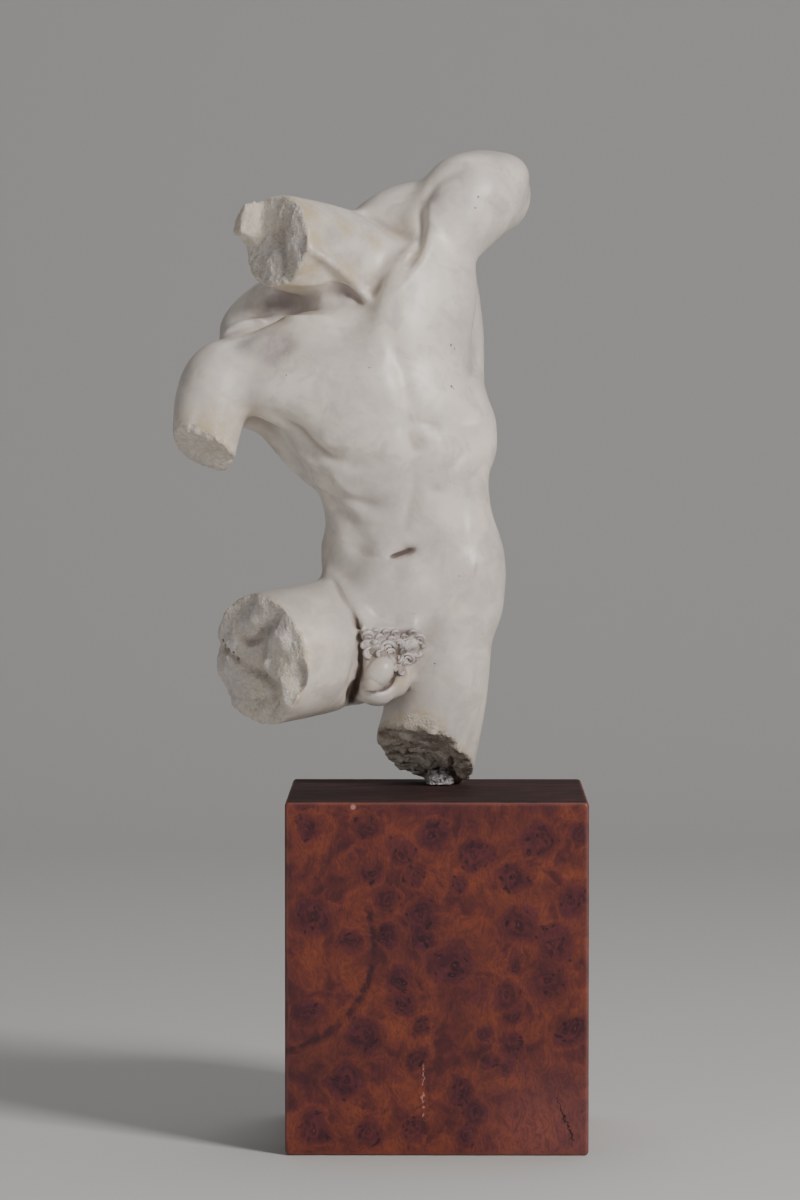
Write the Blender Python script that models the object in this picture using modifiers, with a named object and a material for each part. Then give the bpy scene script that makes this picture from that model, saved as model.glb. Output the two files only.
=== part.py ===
"""Headless marble torso of a man, broken at neck, arms and thighs, held by mortar on a burr-wood block.

Metres, +Z up, the front of the figure towards -Y, origin at the centre of the block's underside.
"""

import math

import bmesh
import bpy
import numpy as np
from mathutils import Matrix, Vector, noise
from mathutils.bvhtree import BVHTree

# Driving dimensions, in metres.
PLINTH_WIDTH = 0.120
PLINTH_DEPTH = 0.120
PLINTH_HEIGHT = 0.140
PLINTH_BEVEL = 0.0010
TORSO_HEIGHT = 0.2594  # from the block's top to the top of the raised shoulder
MORTAR_X = 0.0012  # where the mortar stands on the block's top
MORTAR_Y = 0.027
MORTAR_WIDTH = 0.0125
MORTAR_DEPTH = 0.0120
MORTAR_HEIGHT = 0.0060
MORTAR_TAPER = 0.84  # width at its top over width at its foot
MORTAR_ROUGHNESS = 0.12
ROUND_SIDES = 18
TOUCH_GAP = 0.0003  # between pieces that touch

# The figure is laid out in parts of its own height, so that one part is 1 mm at the size above.
# Its x runs to the viewer's right, its y to the back, and its z up from the block's top.
HEIGHT_IN_PARTS = 259.4
PART = TORSO_HEIGHT / HEIGHT_IN_PARTS
FOOT = Vector((1.2, 27.0, 0.0))  # the point of the figure that stands over the mortar

FLESH_VOXEL = 1.6  # for the large masses, in parts
FLESH_ROUNDS = 34  # of smoothing
CARVING_VOXEL = 1.2  # for the small masses
CARVING_ROUNDS = 2
TORSO_TRIANGLES = 8000

FRONT = (0, -1, 0)
BACK = (0, 1, 0)


def station(centre, width, front, back, roll, yaw):
    """One ring of the trunk: centre, half width, depth to the front and back, roll and turn in degrees."""
    return (*centre, width, front, back, roll, yaw)


TRUNK = [
    station((-12, 6, 50), 22, 14, 18, roll=6, yaw=-12),
    station((-11, 5, 60), 30, 19, 25, roll=8, yaw=-14),
    station((-10, 4, 74), 34.5, 22, 26, roll=9, yaw=-14),
    station((-10.5, 2, 90), 36.5, 22, 22, roll=10, yaw=-11),
    station((-11.5, 1, 107), 34.5, 21, 20, roll=13, yaw=-4),
    station((-12.8, 0, 124), 34.5, 25, 24, roll=16, yaw=6),
    station((-16, 0, 143), 39.5, 31, 31, roll=19, yaw=15),
    station((-25.5, 0, 163), 42.5, 32, 34, roll=23, yaw=18),
    station((-32, 2, 182), 40.0, 27, 33, roll=28, yaw=20),
    station((-34, 4, 198), 34.0, 20, 28, roll=32, yaw=20),
    station((-36, 6, 210), 24.0, 13, 20, roll=34, yaw=20),
]

# Limbs: the points that they run through, and the radius at each.
LIMBS = {
    "neck, bent forward to the figure's right": (
        [(-10, 12, 204), (-34, 2, 213), (-54, -12, 219.5), (-84, -33, 225)],
        [21, 21, 19.5, 18.5],
    ),
    "left shoulder and raised arm, going back": (
        [(-8, 4, 212), (8, 6, 233), (18.5, 18, 241.5), (25, 52, 241)],
        [16, 19, 18.5, 15.5],
    ),
    "right shoulder and lowered arm": (
        [(-66, -6, 172), (-83, -12, 168), (-91, -16, 155), (-94, -19, 126)],
        [13, 15, 15.2, 11.5],
    ),
    "right thigh, raised to the front and side": (
        [(-22, 10, 62), (-40, -3, 59.5), (-58, -19, 56.5), (-86, -43, 52)],
        [24, 26.5, 27, 26.5],
    ),
    "left thigh, straight down": (
        [(3, 3, 80), (3, 6, 58), (0, 12, 36), (-5.5, 20, 12), (-10, 27, -10)],
        [19.5, 19.5, 20.5, 21.5, 21.5],
    ),
}

# Large masses: from one end to the other, width, thickness and the way they face.
MUSCLES = {
    "right pectoral": ((-4, -24, 160), (-84, -20, 166), 40, 25, (-0.2, -1, 0)),
    "right pectoral, upper": ((-24, -16, 190), (-86, -16, 172), 24, 20, (-0.2, -1, 0.3)),
    "right deltoid": ((-82.5, -8, 182), (-96, -18, 142), 31, 31, (-0.7, -1, 0)),
    "right trapezius": ((-36, 14, 211), (-89, 6, 182), 29, 26, (0, 0.6, 1)),
    "right shoulder blade": ((-44, 22, 196), (-62, 17, 142), 42, 18, (-0.3, 1, 0)),
    "right back of shoulder": ((-44, 20, 178), (-94, -6, 164), 38, 28, (-0.3, 1, 0.2)),
    "right round of blade": ((-54, 18, 158), (-88, -8, 156), 24, 22, (-0.4, 1, -0.2)),
    "right back fold": ((-80, 4, 171), (-35, 10, 117), 22, 24, (-1, 0.3, 0)),
    "right armpit": ((-80, -4, 168), (-50, 4, 160), 30, 26, FRONT),
    "left pectoral": ((-16, -24, 152), (6, -6, 228), 46, 17, (0.5, -1, 0)),
    "left armpit fold": ((1.5, -8, 182), (5, 2, 240), 24, 22, (1, -0.6, 0)),
    "left deltoid": ((-6, 0, 238), (34, 18, 242), 38, 38, (0, -1, 0.3)),
    "left tip of shoulder": ((18, 10, 251), (36, 22, 247), 20, 26, FRONT),
    "left trapezius": ((-38, 14, 220), (6, 14, 240), 30, 30, (0, -1, 0.6)),
    "left shoulder blade": ((-8, 28, 224), (-2, 26, 168), 38, 18, (0.3, 1, 0)),
    "left back fold": ((6.5, 18, 226), (8, 8, 130), 25, 25, (1, 0.5, 0)),
    "left ribs": ((7.5, -6, 168), (15.5, -4, 124), 28, 26, (1, -0.5, 0)),
    "right flank": ((-37, 4, 112), (-37, 2, 80), 24, 22, (-1, 0, 0)),
    "left flank": ((15.5, 2, 116), (15.5, 5, 56), 30, 26, (1, 0, 0)),
    "right buttock": ((-30, 16, 94), (-33, 17, 40), 42, 32, BACK),
    "left buttock": ((2, 17, 94), (2, 19, 40), 38, 31, BACK),
    "lower belly": ((-11, -14, 104), (-15, -10, 58), 44, 22, FRONT),
    "right front of thigh": ((-30, -12, 68), (-74, -46, 60), 34, 24, (-0.4, -0.6, 1)),
}

# Small masses, which keep their edges.
CARVED = {
    "shaft": ((-17.5, -22, 56.5), (-28.8, -28.5, 41.8), 10.8, 10.8, FRONT),
    "right side of the pouch": ((-32.5, -18, 47), (-18, -15, 38), 15, 14, FRONT),
    "left side of the pouch": ((-26, -14, 50), (-11, -11, 42), 17, 15, FRONT),
}
HAIR_X = -17.8
HAIR_Z = 60.0
HAIR_HALF_WIDTH = 13.0
HAIR_HALF_HEIGHT = 7.0
HAIR_TUFT = 6.0
TUFT_ROW_STEP = 0.8  # in tufts, like the lengths after it
TUFT_STEP = 0.95
TUFT_OUT = 0.32
TUFT_TILT = 0.55
TUFT_WIDTH = 0.7
TUFT_THICKNESS = 0.95

# Strokes of the chisel on the front, as x and z: course, half width, and height raised or, below zero, cut.
FRONT_STROKES = {
    "right clavicle": ([(-90, 181.5), (-82, 187), (-64, 190), (-44, 191)], 2.6, 1.6),
    "hollow over it": ([(-78, 192), (-61, 196), (-45, 198)], 5.0, -3.2),
    "hollow under it": ([(-56, 183), (-63, 178), (-67, 171)], 5.0, -1.6),
    "deltoid furrow": ([(-84, 181), (-75, 176), (-70, 168)], 4.0, -1.0),
    "sternomastoid": ([(-51, 218), (-43.5, 213.5), (-37, 208), (-31, 201.5), (-26, 196.5)], 2.4, 2.2),
    "pit beside it": ([(-46, 200), (-36, 200.5), (-29, 197)], 4.0, -2.6),
    "left neck groove": ([(-7, 238), (-6.5, 228), (-8, 219), (-14, 210)], 3.4, -2.4),
    "left clavicle": ([(-2.5, 238), (-2, 228), (-3.5, 218), (-9, 208)], 3.0, 1.0),
    "over the neck": ([(-34, 236.5), (-19.5, 227), (-8, 222)], 3.0, -2.8),
    "left shoulder groove": ([(-5.5, 237), (-1, 245), (6, 249), (14, 252)], 3.0, -1.6),
    "left armpit": ([(17, 183), (15, 173), (12, 166)], 3.0, -1.8),
    "under the right pectoral": ([(-70, 152), (-59, 149), (-52, 141), (-41, 134.5), (-28, 137)], 4.8, -1.6),
    "under the left pectoral": ([(-14, 148), (-5, 150), (1, 147)], 4.0, -0.9),
    "breastbone": ([(-20, 190), (-15.5, 174), (-12, 158), (-10, 148)], 5.0, -0.8),
    "pit of the stomach": ([(-12, 146), (-9, 141), (-7.5, 136)], 5.0, -1.2),
    "right rib arch": ([(-13, 144), (-23, 133), (-34, 121), (-43, 116)], 4.0, 1.3),
    "left rib arch": ([(-3.5, 142), (4.5, 133), (10, 124)], 4.0, 1.1),
    "middle of the belly": ([(-8.5, 136), (-9, 122), (-11.5, 110), (-13, 100)], 3.6, -1.0),
    "belly below the navel": ([(-13.5, 93), (-15, 86), (-16, 78)], 3.6, -0.6),
    "belly crease": ([(-34, 120), (-26, 116), (-19.5, 116.5)], 3.4, -1.3),
    "left belly crease": ([(-5, 121), (3, 124)], 3.4, -0.8),
    "right flank furrow": ([(-42, 118), (-37, 109), (-33.5, 101), (-26, 95.5)], 4.2, -1.2),
    "right hip bone": ([(-46, 90), (-40.5, 86), (-37, 82)], 3.4, 1.0),
    "left hip bone": ([(25, 95), (17, 93), (10, 88)], 4.0, 0.9),
    "navel": ([(-17.5, 95), (-14, 97), (-10, 99)], 2.2, -1.7),
    "right groin": ([(-42, 86), (-37, 78), (-32, 69), (-30, 60), (-31, 52)], 3.4, -2.4),
    "between thigh and pouch": ([(-30.5, 57), (-32, 48), (-34, 41), (-37, 33)], 2.8, -3.8),
    "left groin": ([(14, 80), (6.5, 71), (-1, 63), (-5, 56)], 4.0, -1.4),
    "first rib slip": ([(-56, 138), (-48, 130)], 3.2, 1.0),
    "second rib slip": ([(-53, 129), (-45, 122)], 3.2, 1.0),
    "first left rib": ([(24, 152), (16.5, 148), (9, 145)], 3.4, 0.9),
    "second left rib": ([(24, 140), (16.5, 136), (10, 133)], 3.4, 0.9),
    "third left rib": ([(21, 129), (15, 125), (7, 122)], 3.4, 0.8),
}
# The same on the back.
BACK_STROKES = {
    "spine": ([(-30, 203), (-22, 180), (-16, 150), (-12, 122), (-11, 98)], 4.4, -2.4),
    "between the buttocks": ([(-12, 84), (-14, 70), (-15, 56), (-15, 44)], 3.2, -5.0),
    "right of the spine": ([(-26, 152), (-21, 124), (-20, 100)], 5.0, 1.4),
    "left of the spine": ([(-6, 152), (-2, 124), (-2, 100)], 5.0, 1.4),
    "right blade's inner edge": ([(-46, 194), (-43, 172), (-50, 152)], 3.6, 1.5),
    "right blade's ridge": ([(-50, 192), (-66, 190), (-80, 184)], 3.6, 1.2),
    "left blade's inner edge": ([(-14, 220), (-10, 192), (-6, 172)], 3.6, 1.5),
    "left blade's ridge": ([(-10, 222), (2, 230), (14, 236)], 3.6, 1.2),
    "right fold over the hip": ([(-42, 98), (-28, 92), (-18, 90)], 4.0, -1.0),
    "left fold over the hip": ([(22, 100), (10, 94), (-2, 90)], 4.0, -1.0),
}


def broken(at, facing, reach, roughness, ledge=(0, 0, 0)):
    """A break: a point on its face, the way it faces, its reach, its roughness, and a ledge left standing.

    The ledge is the corner beyond the first two numbers, across and upwards, and the third is its rise.
    """
    return at, facing, reach, roughness, ledge


BREAKS = {
    "neck": broken((-64.5, -20, 219), (-0.72, -0.68, 0.08), 27, roughness=1.4, ledge=(-11, 2, 8)),
    "left arm": broken((25, 35, 241), (0.45, 0.89, 0.06), 26, roughness=1.6),
    "right arm": broken((-93.5, -18, 137.5), (-0.33, -0.5, -0.8), 21, roughness=1.2),
    "right thigh": broken((-71, -30, 56), (-0.72, -0.69, -0.11), 36, roughness=2.2),
    "left thigh": broken((-5, 17, 14.5), (-0.32, -0.42, -0.85), 36, roughness=1.4),
}
BREAK_CELLS = 15
BREAK_DEPTH = 46
LUMP_SIZE = 11.0  # of the largest lumps on a broken face


def clear_scene():
    for obj in list(bpy.data.objects):
        bpy.data.objects.remove(obj)


def smooth_course(rows, per_span):
    """Rows between the given ones, on a Catmull-Rom curve through them."""
    rows = np.array(rows, float)
    rows = np.array([2 * rows[0] - rows[1], *rows, 2 * rows[-1] - rows[-2]])
    course = []
    for a, b, c, d in zip(rows, rows[1:], rows[2:], rows[3:]):
        for t in np.arange(per_span) / per_span:
            square, cube = t * t, t * t * t
            course.append(
                b
                + 0.5 * (c - a) * t
                + (a - 2.5 * b + 2 * c - 0.5 * d) * square
                + (1.5 * b - 0.5 * a - 1.5 * c + 0.5 * d) * cube
            )
    return np.array([*course, rows[-2]])


def trunk_rings(around=44, roundness=0.87):
    """Rounded-box sections along the trunk, each with its own front and back depth, roll and turn."""
    rings = []
    for row in smooth_course(TRUNK, per_span=6):
        width, front, back = row[3:6]
        roll, yaw = np.radians(row[6:8])
        turn = Matrix.Rotation(-roll, 3, "Y") @ Matrix.Rotation(yaw, 3, "Z")
        ring = []
        for k in range(around):
            c, s = math.cos(2 * math.pi * k / around), math.sin(2 * math.pi * k / around)
            depth = back if s > 0 else front
            x = width * math.copysign(abs(c) ** roundness, c)
            y = depth * math.copysign(abs(s) ** roundness, s)
            ring.append(Vector(row[:3]) + turn @ Vector((x, y, 0)))
        rings.append(ring)
    return rings


def limb_rings(path, radii, around=30):
    """Round sections square to a smooth course."""
    course = smooth_course(np.column_stack((path, radii)), per_span=5)
    tangents = np.gradient(course[:, :3], axis=0)
    rings = []
    for row, tangent in zip(course, tangents):
        along = Vector(tangent).normalized()
        side = along.cross(Vector(BACK)).normalized()
        other = along.cross(side)
        centre, radius = Vector(row[:3]), float(row[3])
        angles = [2 * math.pi * k / around for k in range(around)]
        rings.append([centre + radius * (math.cos(a) * side + math.sin(a) * other) for a in angles])
    return rings


def loft(bm, rings):
    """A closed skin over rings of equal count, capped at both ends."""
    loops = [[bm.verts.new(point) for point in ring] for ring in rings]
    faces = [bm.faces.new(loops[0]), bm.faces.new(loops[-1])]
    for low, high in zip(loops, loops[1:]):
        for i in range(len(low)):
            faces.append(bm.faces.new((low[i - 1], low[i], high[i], high[i - 1])))
    bmesh.ops.recalc_face_normals(bm, faces=faces)


def ellipsoid(bm, start, end, width, thickness, facing):
    """A ball stretched from start to end, width across and thickness along facing."""
    start, end = Vector(start), Vector(end)
    along = end - start
    across = along.cross(Vector(facing)).normalized()
    out = across.cross(along).normalized()
    axes = Matrix((along / 2, across * width / 2, out * thickness / 2)).transposed().to_4x4()
    ball = bmesh.new()
    bmesh.ops.create_uvsphere(ball, u_segments=24, v_segments=14, radius=1.0)
    ball.transform(Matrix.Translation((start + end) / 2) @ axes)
    shell = bpy.data.meshes.new("ball")
    ball.to_mesh(shell)
    ball.free()
    bm.from_mesh(shell)
    bpy.data.meshes.remove(shell)


def surface_seen(mesh, facing):
    """Gives the point of the mesh that is seen at x and z, looking against facing."""
    tree = BVHTree.FromPolygons([v.co for v in mesh.vertices], [f.vertices for f in mesh.polygons])
    facing = Vector(facing)

    def seen(x, z):
        hit = tree.ray_cast(Vector((x, 0, z)) + 200 * facing, -facing)[0]
        return hit if hit else Vector((x, 0, z))

    return seen


def hair_tufts(bm, seen):
    """Rows of small tufts over the pubic patch, every other row shifted half a step."""
    rows = int(2 * HAIR_HALF_HEIGHT / (TUFT_ROW_STEP * HAIR_TUFT)) + 1
    for j in range(rows):
        up = (j / (rows - 1) * 2 - 1) * HAIR_HALF_HEIGHT
        reach = HAIR_HALF_WIDTH * (0.78 + 0.22 * up / HAIR_HALF_HEIGHT)
        count = round(2 * reach / (TUFT_STEP * HAIR_TUFT))
        for i in range(count):
            across = ((i + 0.5 * (j % 2) + 0.25) / count * 2 - 1) * reach
            place = seen(HAIR_X + across, HAIR_Z + up) + Vector((0, -TUFT_OUT * HAIR_TUFT, 0))
            turn = 1.7 * i + 2.3 * j
            tilt = Vector((math.cos(turn), 0, math.sin(turn))) * TUFT_TILT * HAIR_TUFT
            ellipsoid(bm, place - tilt, place + tilt, TUFT_WIDTH * HAIR_TUFT, TUFT_THICKNESS * HAIR_TUFT, FRONT)


def fused(bm, voxel, rounds):
    """One skin over overlapping shells: a voxel remesh, then rounds of smoothing."""
    obj = object_from(bm, "shells")
    remesh = obj.modifiers.new("fuse", "REMESH")
    remesh.mode = "VOXEL"
    remesh.voxel_size = voxel
    soften = obj.modifiers.new("soften", "SMOOTH")
    soften.factor = 0.5
    soften.iterations = round(rounds)
    mesh = bpy.data.meshes.new_from_object(obj.evaluated_get(bpy.context.evaluated_depsgraph_get()))
    bpy.data.objects.remove(obj)
    return mesh


def object_from(bm, name):
    mesh = bpy.data.meshes.new(name)
    bm.to_mesh(mesh)
    bm.free()
    obj = bpy.data.objects.new(name, mesh)
    bpy.context.scene.collection.objects.link(obj)
    return obj


def stroke_weight(points, course, width):
    """1 on the course, falling off as a bell curve across it, and fading towards its two ends."""
    course = smooth_course(course, per_span=4)
    lengths = np.linalg.norm(np.diff(course, axis=0), axis=1)
    reached = np.concatenate(([0], np.cumsum(lengths))) / lengths.sum()
    low, high = course.min(axis=0) - 3 * width, course.max(axis=0) + 3 * width
    near = ((points > low) & (points < high)).all(axis=1)
    points = points[near]
    nearest = np.full(len(points), np.inf)
    share = np.zeros(len(points))
    for a, b, start, end in zip(course, course[1:], reached, reached[1:]):
        step = b - a
        offset = points - a
        t = np.clip(offset @ step / (step @ step), 0, 1)
        distance = np.linalg.norm(offset - t[:, None] * step, axis=1)
        closer = distance < nearest
        nearest[closer] = distance[closer]
        share[closer] = (start + t * (end - start))[closer]
    fade = np.clip(5 * np.minimum(share, 1 - share) + 0.3, 0, 1)
    weight = np.zeros(len(near))
    weight[near] = np.exp(-((nearest / width) ** 2)) * fade
    return weight


def carve(mesh):
    """Moves the skin along its normals by every stroke of the front and the back."""
    count = len(mesh.vertices)
    points, normals = np.empty(count * 3), np.empty(count * 3)
    mesh.vertices.foreach_get("co", points)
    mesh.vertices.foreach_get("normal", normals)
    points, normals = points.reshape(-1, 3), normals.reshape(-1, 3)
    height = np.zeros(count)
    for strokes, facing in ((FRONT_STROKES, FRONT), (BACK_STROKES, BACK)):
        seen = surface_seen(mesh, facing)
        towards = np.clip(0.3 + 1.4 * normals @ np.array(facing, float), 0, 1)
        for course, width, depth in strokes.values():
            course = [seen(x, z) for x, z in course]
            height += depth * stroke_weight(points, course, width) * towards
    mesh.vertices.foreach_set("co", (points + normals * height[:, None]).ravel())
    mesh.update()


def break_cutter(name, at, facing, reach, roughness, ledge):
    """A block whose near face is rough: what lies beyond it is broken off."""
    turn = Vector(facing).to_track_quat("Z", "Y").to_matrix()
    bm = bmesh.new()
    bmesh.ops.create_grid(bm, x_segments=BREAK_CELLS, y_segments=BREAK_CELLS, size=reach)
    for vert in bm.verts:
        lump = (turn @ vert.co + Vector(at)) / LUMP_SIZE
        vert.co.z = roughness * (1.6 * noise.noise(lump) + 0.8 * noise.noise(2.3 * lump))
        if vert.co.x < ledge[0] and vert.co.y > ledge[1]:
            vert.co.z += ledge[2]
    far = bmesh.ops.extrude_face_region(bm, geom=bm.faces[:])["geom"]
    for vert in (v for v in far if isinstance(v, bmesh.types.BMVert)):
        vert.co.z = BREAK_DEPTH
    bmesh.ops.recalc_face_normals(bm, faces=bm.faces[:])
    bm.transform(place_figure() @ Matrix.Translation(at) @ turn.to_4x4())
    return cutter_object(bm, name)


def cutter_object(bm, name):
    cutter = object_from(bm, name)
    bpy.context.scene.collection.objects.unlink(cutter)
    bpy.data.collections["cutters"].objects.link(cutter)
    cutter.hide_render = True
    cutter.display_type = "WIRE"
    return cutter


def place_figure():
    """The matrix from the figure's parts to metres, with its foot over the mortar."""
    to_block = Matrix.Translation((MORTAR_X, MORTAR_Y, PLINTH_HEIGHT))
    return to_block @ Matrix.Scale(PART, 4) @ Matrix.Translation(-FOOT)


def material(name, colour, roughness):
    made = bpy.data.materials.new(name)
    made.use_nodes = True
    shader = made.node_tree.nodes["Principled BSDF"]
    shader.inputs["Base Color"].default_value = (*colour, 1)
    shader.inputs["Roughness"].default_value = roughness
    shader.inputs["Metallic"].default_value = 0.0
    return made


def as_part(obj, finish):
    obj.data.materials.clear()
    obj.data.materials.append(finish)
    bpy.context.scene.collection.objects.unlink(obj)
    bpy.data.collections["marble torso on a block"].objects.link(obj)


def make_plinth():
    """The solid block, with its edges just broken."""
    bm = bmesh.new()
    size = Matrix.Diagonal((PLINTH_WIDTH, PLINTH_DEPTH, PLINTH_HEIGHT, 1))
    bmesh.ops.create_cube(bm, size=1.0, matrix=Matrix.Translation((0, 0, PLINTH_HEIGHT / 2)) @ size)
    plinth = object_from(bm, "plinth")
    bevel = plinth.modifiers.new("broken edges", "BEVEL")
    bevel.width = PLINTH_BEVEL
    bevel.segments = 2
    as_part(plinth, material("burr wood", (0.22, 0.06, 0.02), 0.35))


def make_mortar():
    """A rough lump, drawn in a little towards its top."""
    bm = bmesh.new()
    top_radius = 0.5 * MORTAR_TAPER
    bmesh.ops.create_cone(bm, cap_ends=True, segments=ROUND_SIDES, radius1=0.5, radius2=top_radius, depth=1.0)
    upright = [edge for edge in bm.edges if abs(edge.verts[0].co.z - edge.verts[1].co.z) > 0.5]
    bmesh.ops.subdivide_edges(bm, edges=upright, cuts=2)
    for vert in bm.verts:
        shrink = 1 - MORTAR_ROUGHNESS * abs(noise.noise(4.1 * vert.co))
        vert.co.x *= shrink
        vert.co.y *= shrink
    size = Matrix.Diagonal((MORTAR_WIDTH, MORTAR_DEPTH, MORTAR_HEIGHT, 1))
    middle = (MORTAR_X, MORTAR_Y, PLINTH_HEIGHT + TOUCH_GAP + MORTAR_HEIGHT / 2)
    bm.transform(Matrix.Translation(middle) @ size)
    as_part(object_from(bm, "fixing_mortar"), material("mortar", (0.42, 0.41, 0.39), 0.9))


def mortar_seat():
    """The notch in the broken thigh that takes the mortar, clear of it by the gap on every side."""
    bm = bmesh.new()
    top = PLINTH_HEIGHT + 2 * TOUCH_GAP + MORTAR_HEIGHT
    bottom = PLINTH_HEIGHT - MORTAR_HEIGHT
    size = Matrix.Diagonal((MORTAR_WIDTH + 2 * TOUCH_GAP, MORTAR_DEPTH + 2 * TOUCH_GAP, top - bottom, 1))
    bmesh.ops.create_cone(bm, cap_ends=True, segments=ROUND_SIDES, radius1=0.5, radius2=0.5, depth=1.0)
    bm.transform(Matrix.Translation((MORTAR_X, MORTAR_Y, (top + bottom) / 2)) @ size)
    return cutter_object(bm, "mortar seat")


def block_top_cutter():
    """Keeps the marble off the block."""
    bm = bmesh.new()
    size = Matrix.Diagonal((2 * PLINTH_WIDTH, 2 * PLINTH_DEPTH, TORSO_HEIGHT, 1))
    middle = (0, 0, PLINTH_HEIGHT + TOUCH_GAP - TORSO_HEIGHT / 2)
    bmesh.ops.create_cube(bm, size=1.0, matrix=Matrix.Translation(middle) @ size)
    return cutter_object(bm, "block top")


def make_torso():
    """The figure: masses fused and smoothed, then small masses, strokes, breaks and the mortar's seat."""
    bm = bmesh.new()
    loft(bm, trunk_rings())
    for path, radii in LIMBS.values():
        loft(bm, limb_rings(path, radii))
    for mass in MUSCLES.values():
        ellipsoid(bm, *mass)
    flesh = fused(bm, FLESH_VOXEL, FLESH_ROUNDS)

    bm = bmesh.new()
    bm.from_mesh(flesh)
    for mass in CARVED.values():
        ellipsoid(bm, *mass)
    hair_tufts(bm, surface_seen(flesh, FRONT))
    skin = fused(bm, CARVING_VOXEL, CARVING_ROUNDS)
    carve(skin)
    skin.transform(place_figure())

    torso = bpy.data.objects.new("torso", skin)
    bpy.context.scene.collection.objects.link(torso)
    thin = torso.modifiers.new("fewer faces", "DECIMATE")
    thin.ratio = TORSO_TRIANGLES / (2 * len(skin.polygons))
    cutters = [break_cutter(name + " break", *spec) for name, spec in BREAKS.items()]
    for cutter in (*cutters, mortar_seat(), block_top_cutter()):
        cut = torso.modifiers.new(cutter.name, "BOOLEAN")
        cut.operation = "DIFFERENCE"
        cut.object = cutter
    as_part(torso, material("marble", (0.78, 0.75, 0.68), 0.38))


def main():
    clear_scene()
    for name in ("marble torso on a block", "cutters"):
        bpy.context.scene.collection.children.link(bpy.data.collections.new(name))
    make_plinth()
    make_mortar()
    make_torso()


main()
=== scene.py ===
"""Looks of a marble torso fragment on its burr-wood block: finished surfaces, materials, light and camera.

Metres, +Z up, the front of the figure towards -Y, and the origin at the centre of the block's underside.
"""

import math

import bmesh
import bpy
import numpy as np
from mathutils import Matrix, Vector
from mathutils.bvhtree import BVHTree


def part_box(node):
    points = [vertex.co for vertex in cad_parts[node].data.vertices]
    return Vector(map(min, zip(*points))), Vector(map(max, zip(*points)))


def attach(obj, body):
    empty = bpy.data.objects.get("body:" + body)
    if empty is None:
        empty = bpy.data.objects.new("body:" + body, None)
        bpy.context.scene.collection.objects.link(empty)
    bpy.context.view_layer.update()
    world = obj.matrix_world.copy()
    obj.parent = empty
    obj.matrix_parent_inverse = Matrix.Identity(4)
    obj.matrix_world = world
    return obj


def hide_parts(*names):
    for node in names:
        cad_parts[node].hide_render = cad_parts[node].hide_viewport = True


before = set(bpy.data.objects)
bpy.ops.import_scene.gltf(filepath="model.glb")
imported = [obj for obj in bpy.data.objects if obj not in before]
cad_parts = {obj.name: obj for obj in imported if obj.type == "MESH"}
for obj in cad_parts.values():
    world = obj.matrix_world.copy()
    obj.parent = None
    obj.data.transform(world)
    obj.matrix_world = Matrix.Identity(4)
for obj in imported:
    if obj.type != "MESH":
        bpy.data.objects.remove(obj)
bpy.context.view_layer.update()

MM = 0.001
BLOCK_LOW, BLOCK_HIGH = (np.array(corner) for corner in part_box("plinth"))
BLOCK_TOP = BLOCK_HIGH[2]
FRONT = np.array((0.0, -1.0, 0.0))
MERGE_SOLID = 0.00001  # corners of a solid's loose triangles that lie closer than this are one, metres
MERGE_SEAM = 0.000005


# Surfaces as arrays


def mesh_object(name, points, faces):
    """A smooth object at the origin from rows of points and rows of faces."""
    mesh = bpy.data.meshes.new(name)
    mesh.from_pydata(points.tolist(), [], faces.tolist())
    mesh.polygons.foreach_set("use_smooth", np.full(len(mesh.polygons), True))
    obj = bpy.data.objects.new(name, mesh)
    bpy.context.scene.collection.objects.link(obj)
    return obj


def read(items, key, columns, kind=float):
    """One property of a mesh's points or edges, as the rows of an array."""
    values = np.empty(len(items) * columns, kind)
    items.foreach_get(key, values)
    return values.reshape(-1, columns)


def read_points(mesh):
    return read(mesh.vertices, "co", 3)


def read_normals(mesh):
    return read(mesh.vertices, "normal", 3)


def read_edges(mesh):
    return read(mesh.edges, "vertices", 2, int)


def write_points(mesh, points):
    mesh.vertices.foreach_set("co", points.ravel())
    mesh.update()


def write_mask(mesh, name, values):
    """Keeps one number per vertex as an attribute that a material can read."""
    mask = mesh.attributes.new(name, "FLOAT", "POINT")
    mask.data.foreach_set("value", np.ascontiguousarray(values, np.float32))


def unit(vectors):
    return vectors / np.maximum(np.linalg.norm(vectors, axis=-1, keepdims=True), 1e-12)


def smoothstep(low, high, values):
    """0 below low, 1 above high, and an even S-curve between."""
    t = np.clip((values - low) / (high - low), 0, 1)
    return t * t * (3 - 2 * t)


def scattered(cells, seed):
    """A fixed number from -1 to 1 for each lattice cell, as good as random: its three indices hashed."""
    key = cells @ np.array((73856093, 19349663, 83492791)) + seed * 6364136
    key = (key ^ (key >> 13)) * 1274126177
    key = (key ^ (key >> 16)) & 0xFFFF
    return key / 32767.5 - 1


def lattice_noise(points, size, seed=0):
    """Smooth noise from -1 to 1: scattered numbers on a cubic lattice of pitch size, blended by S-curves."""
    spots = points / size
    cell = np.floor(spots).astype(np.int64)
    t = spots - cell
    t = t * t * (3 - 2 * t)
    total = np.zeros(len(points))
    for corner in np.ndindex(2, 2, 2):
        share = np.prod(np.where(corner, t, 1 - t), axis=1)
        total += share * scattered(cell + corner, seed)
    return total


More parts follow.
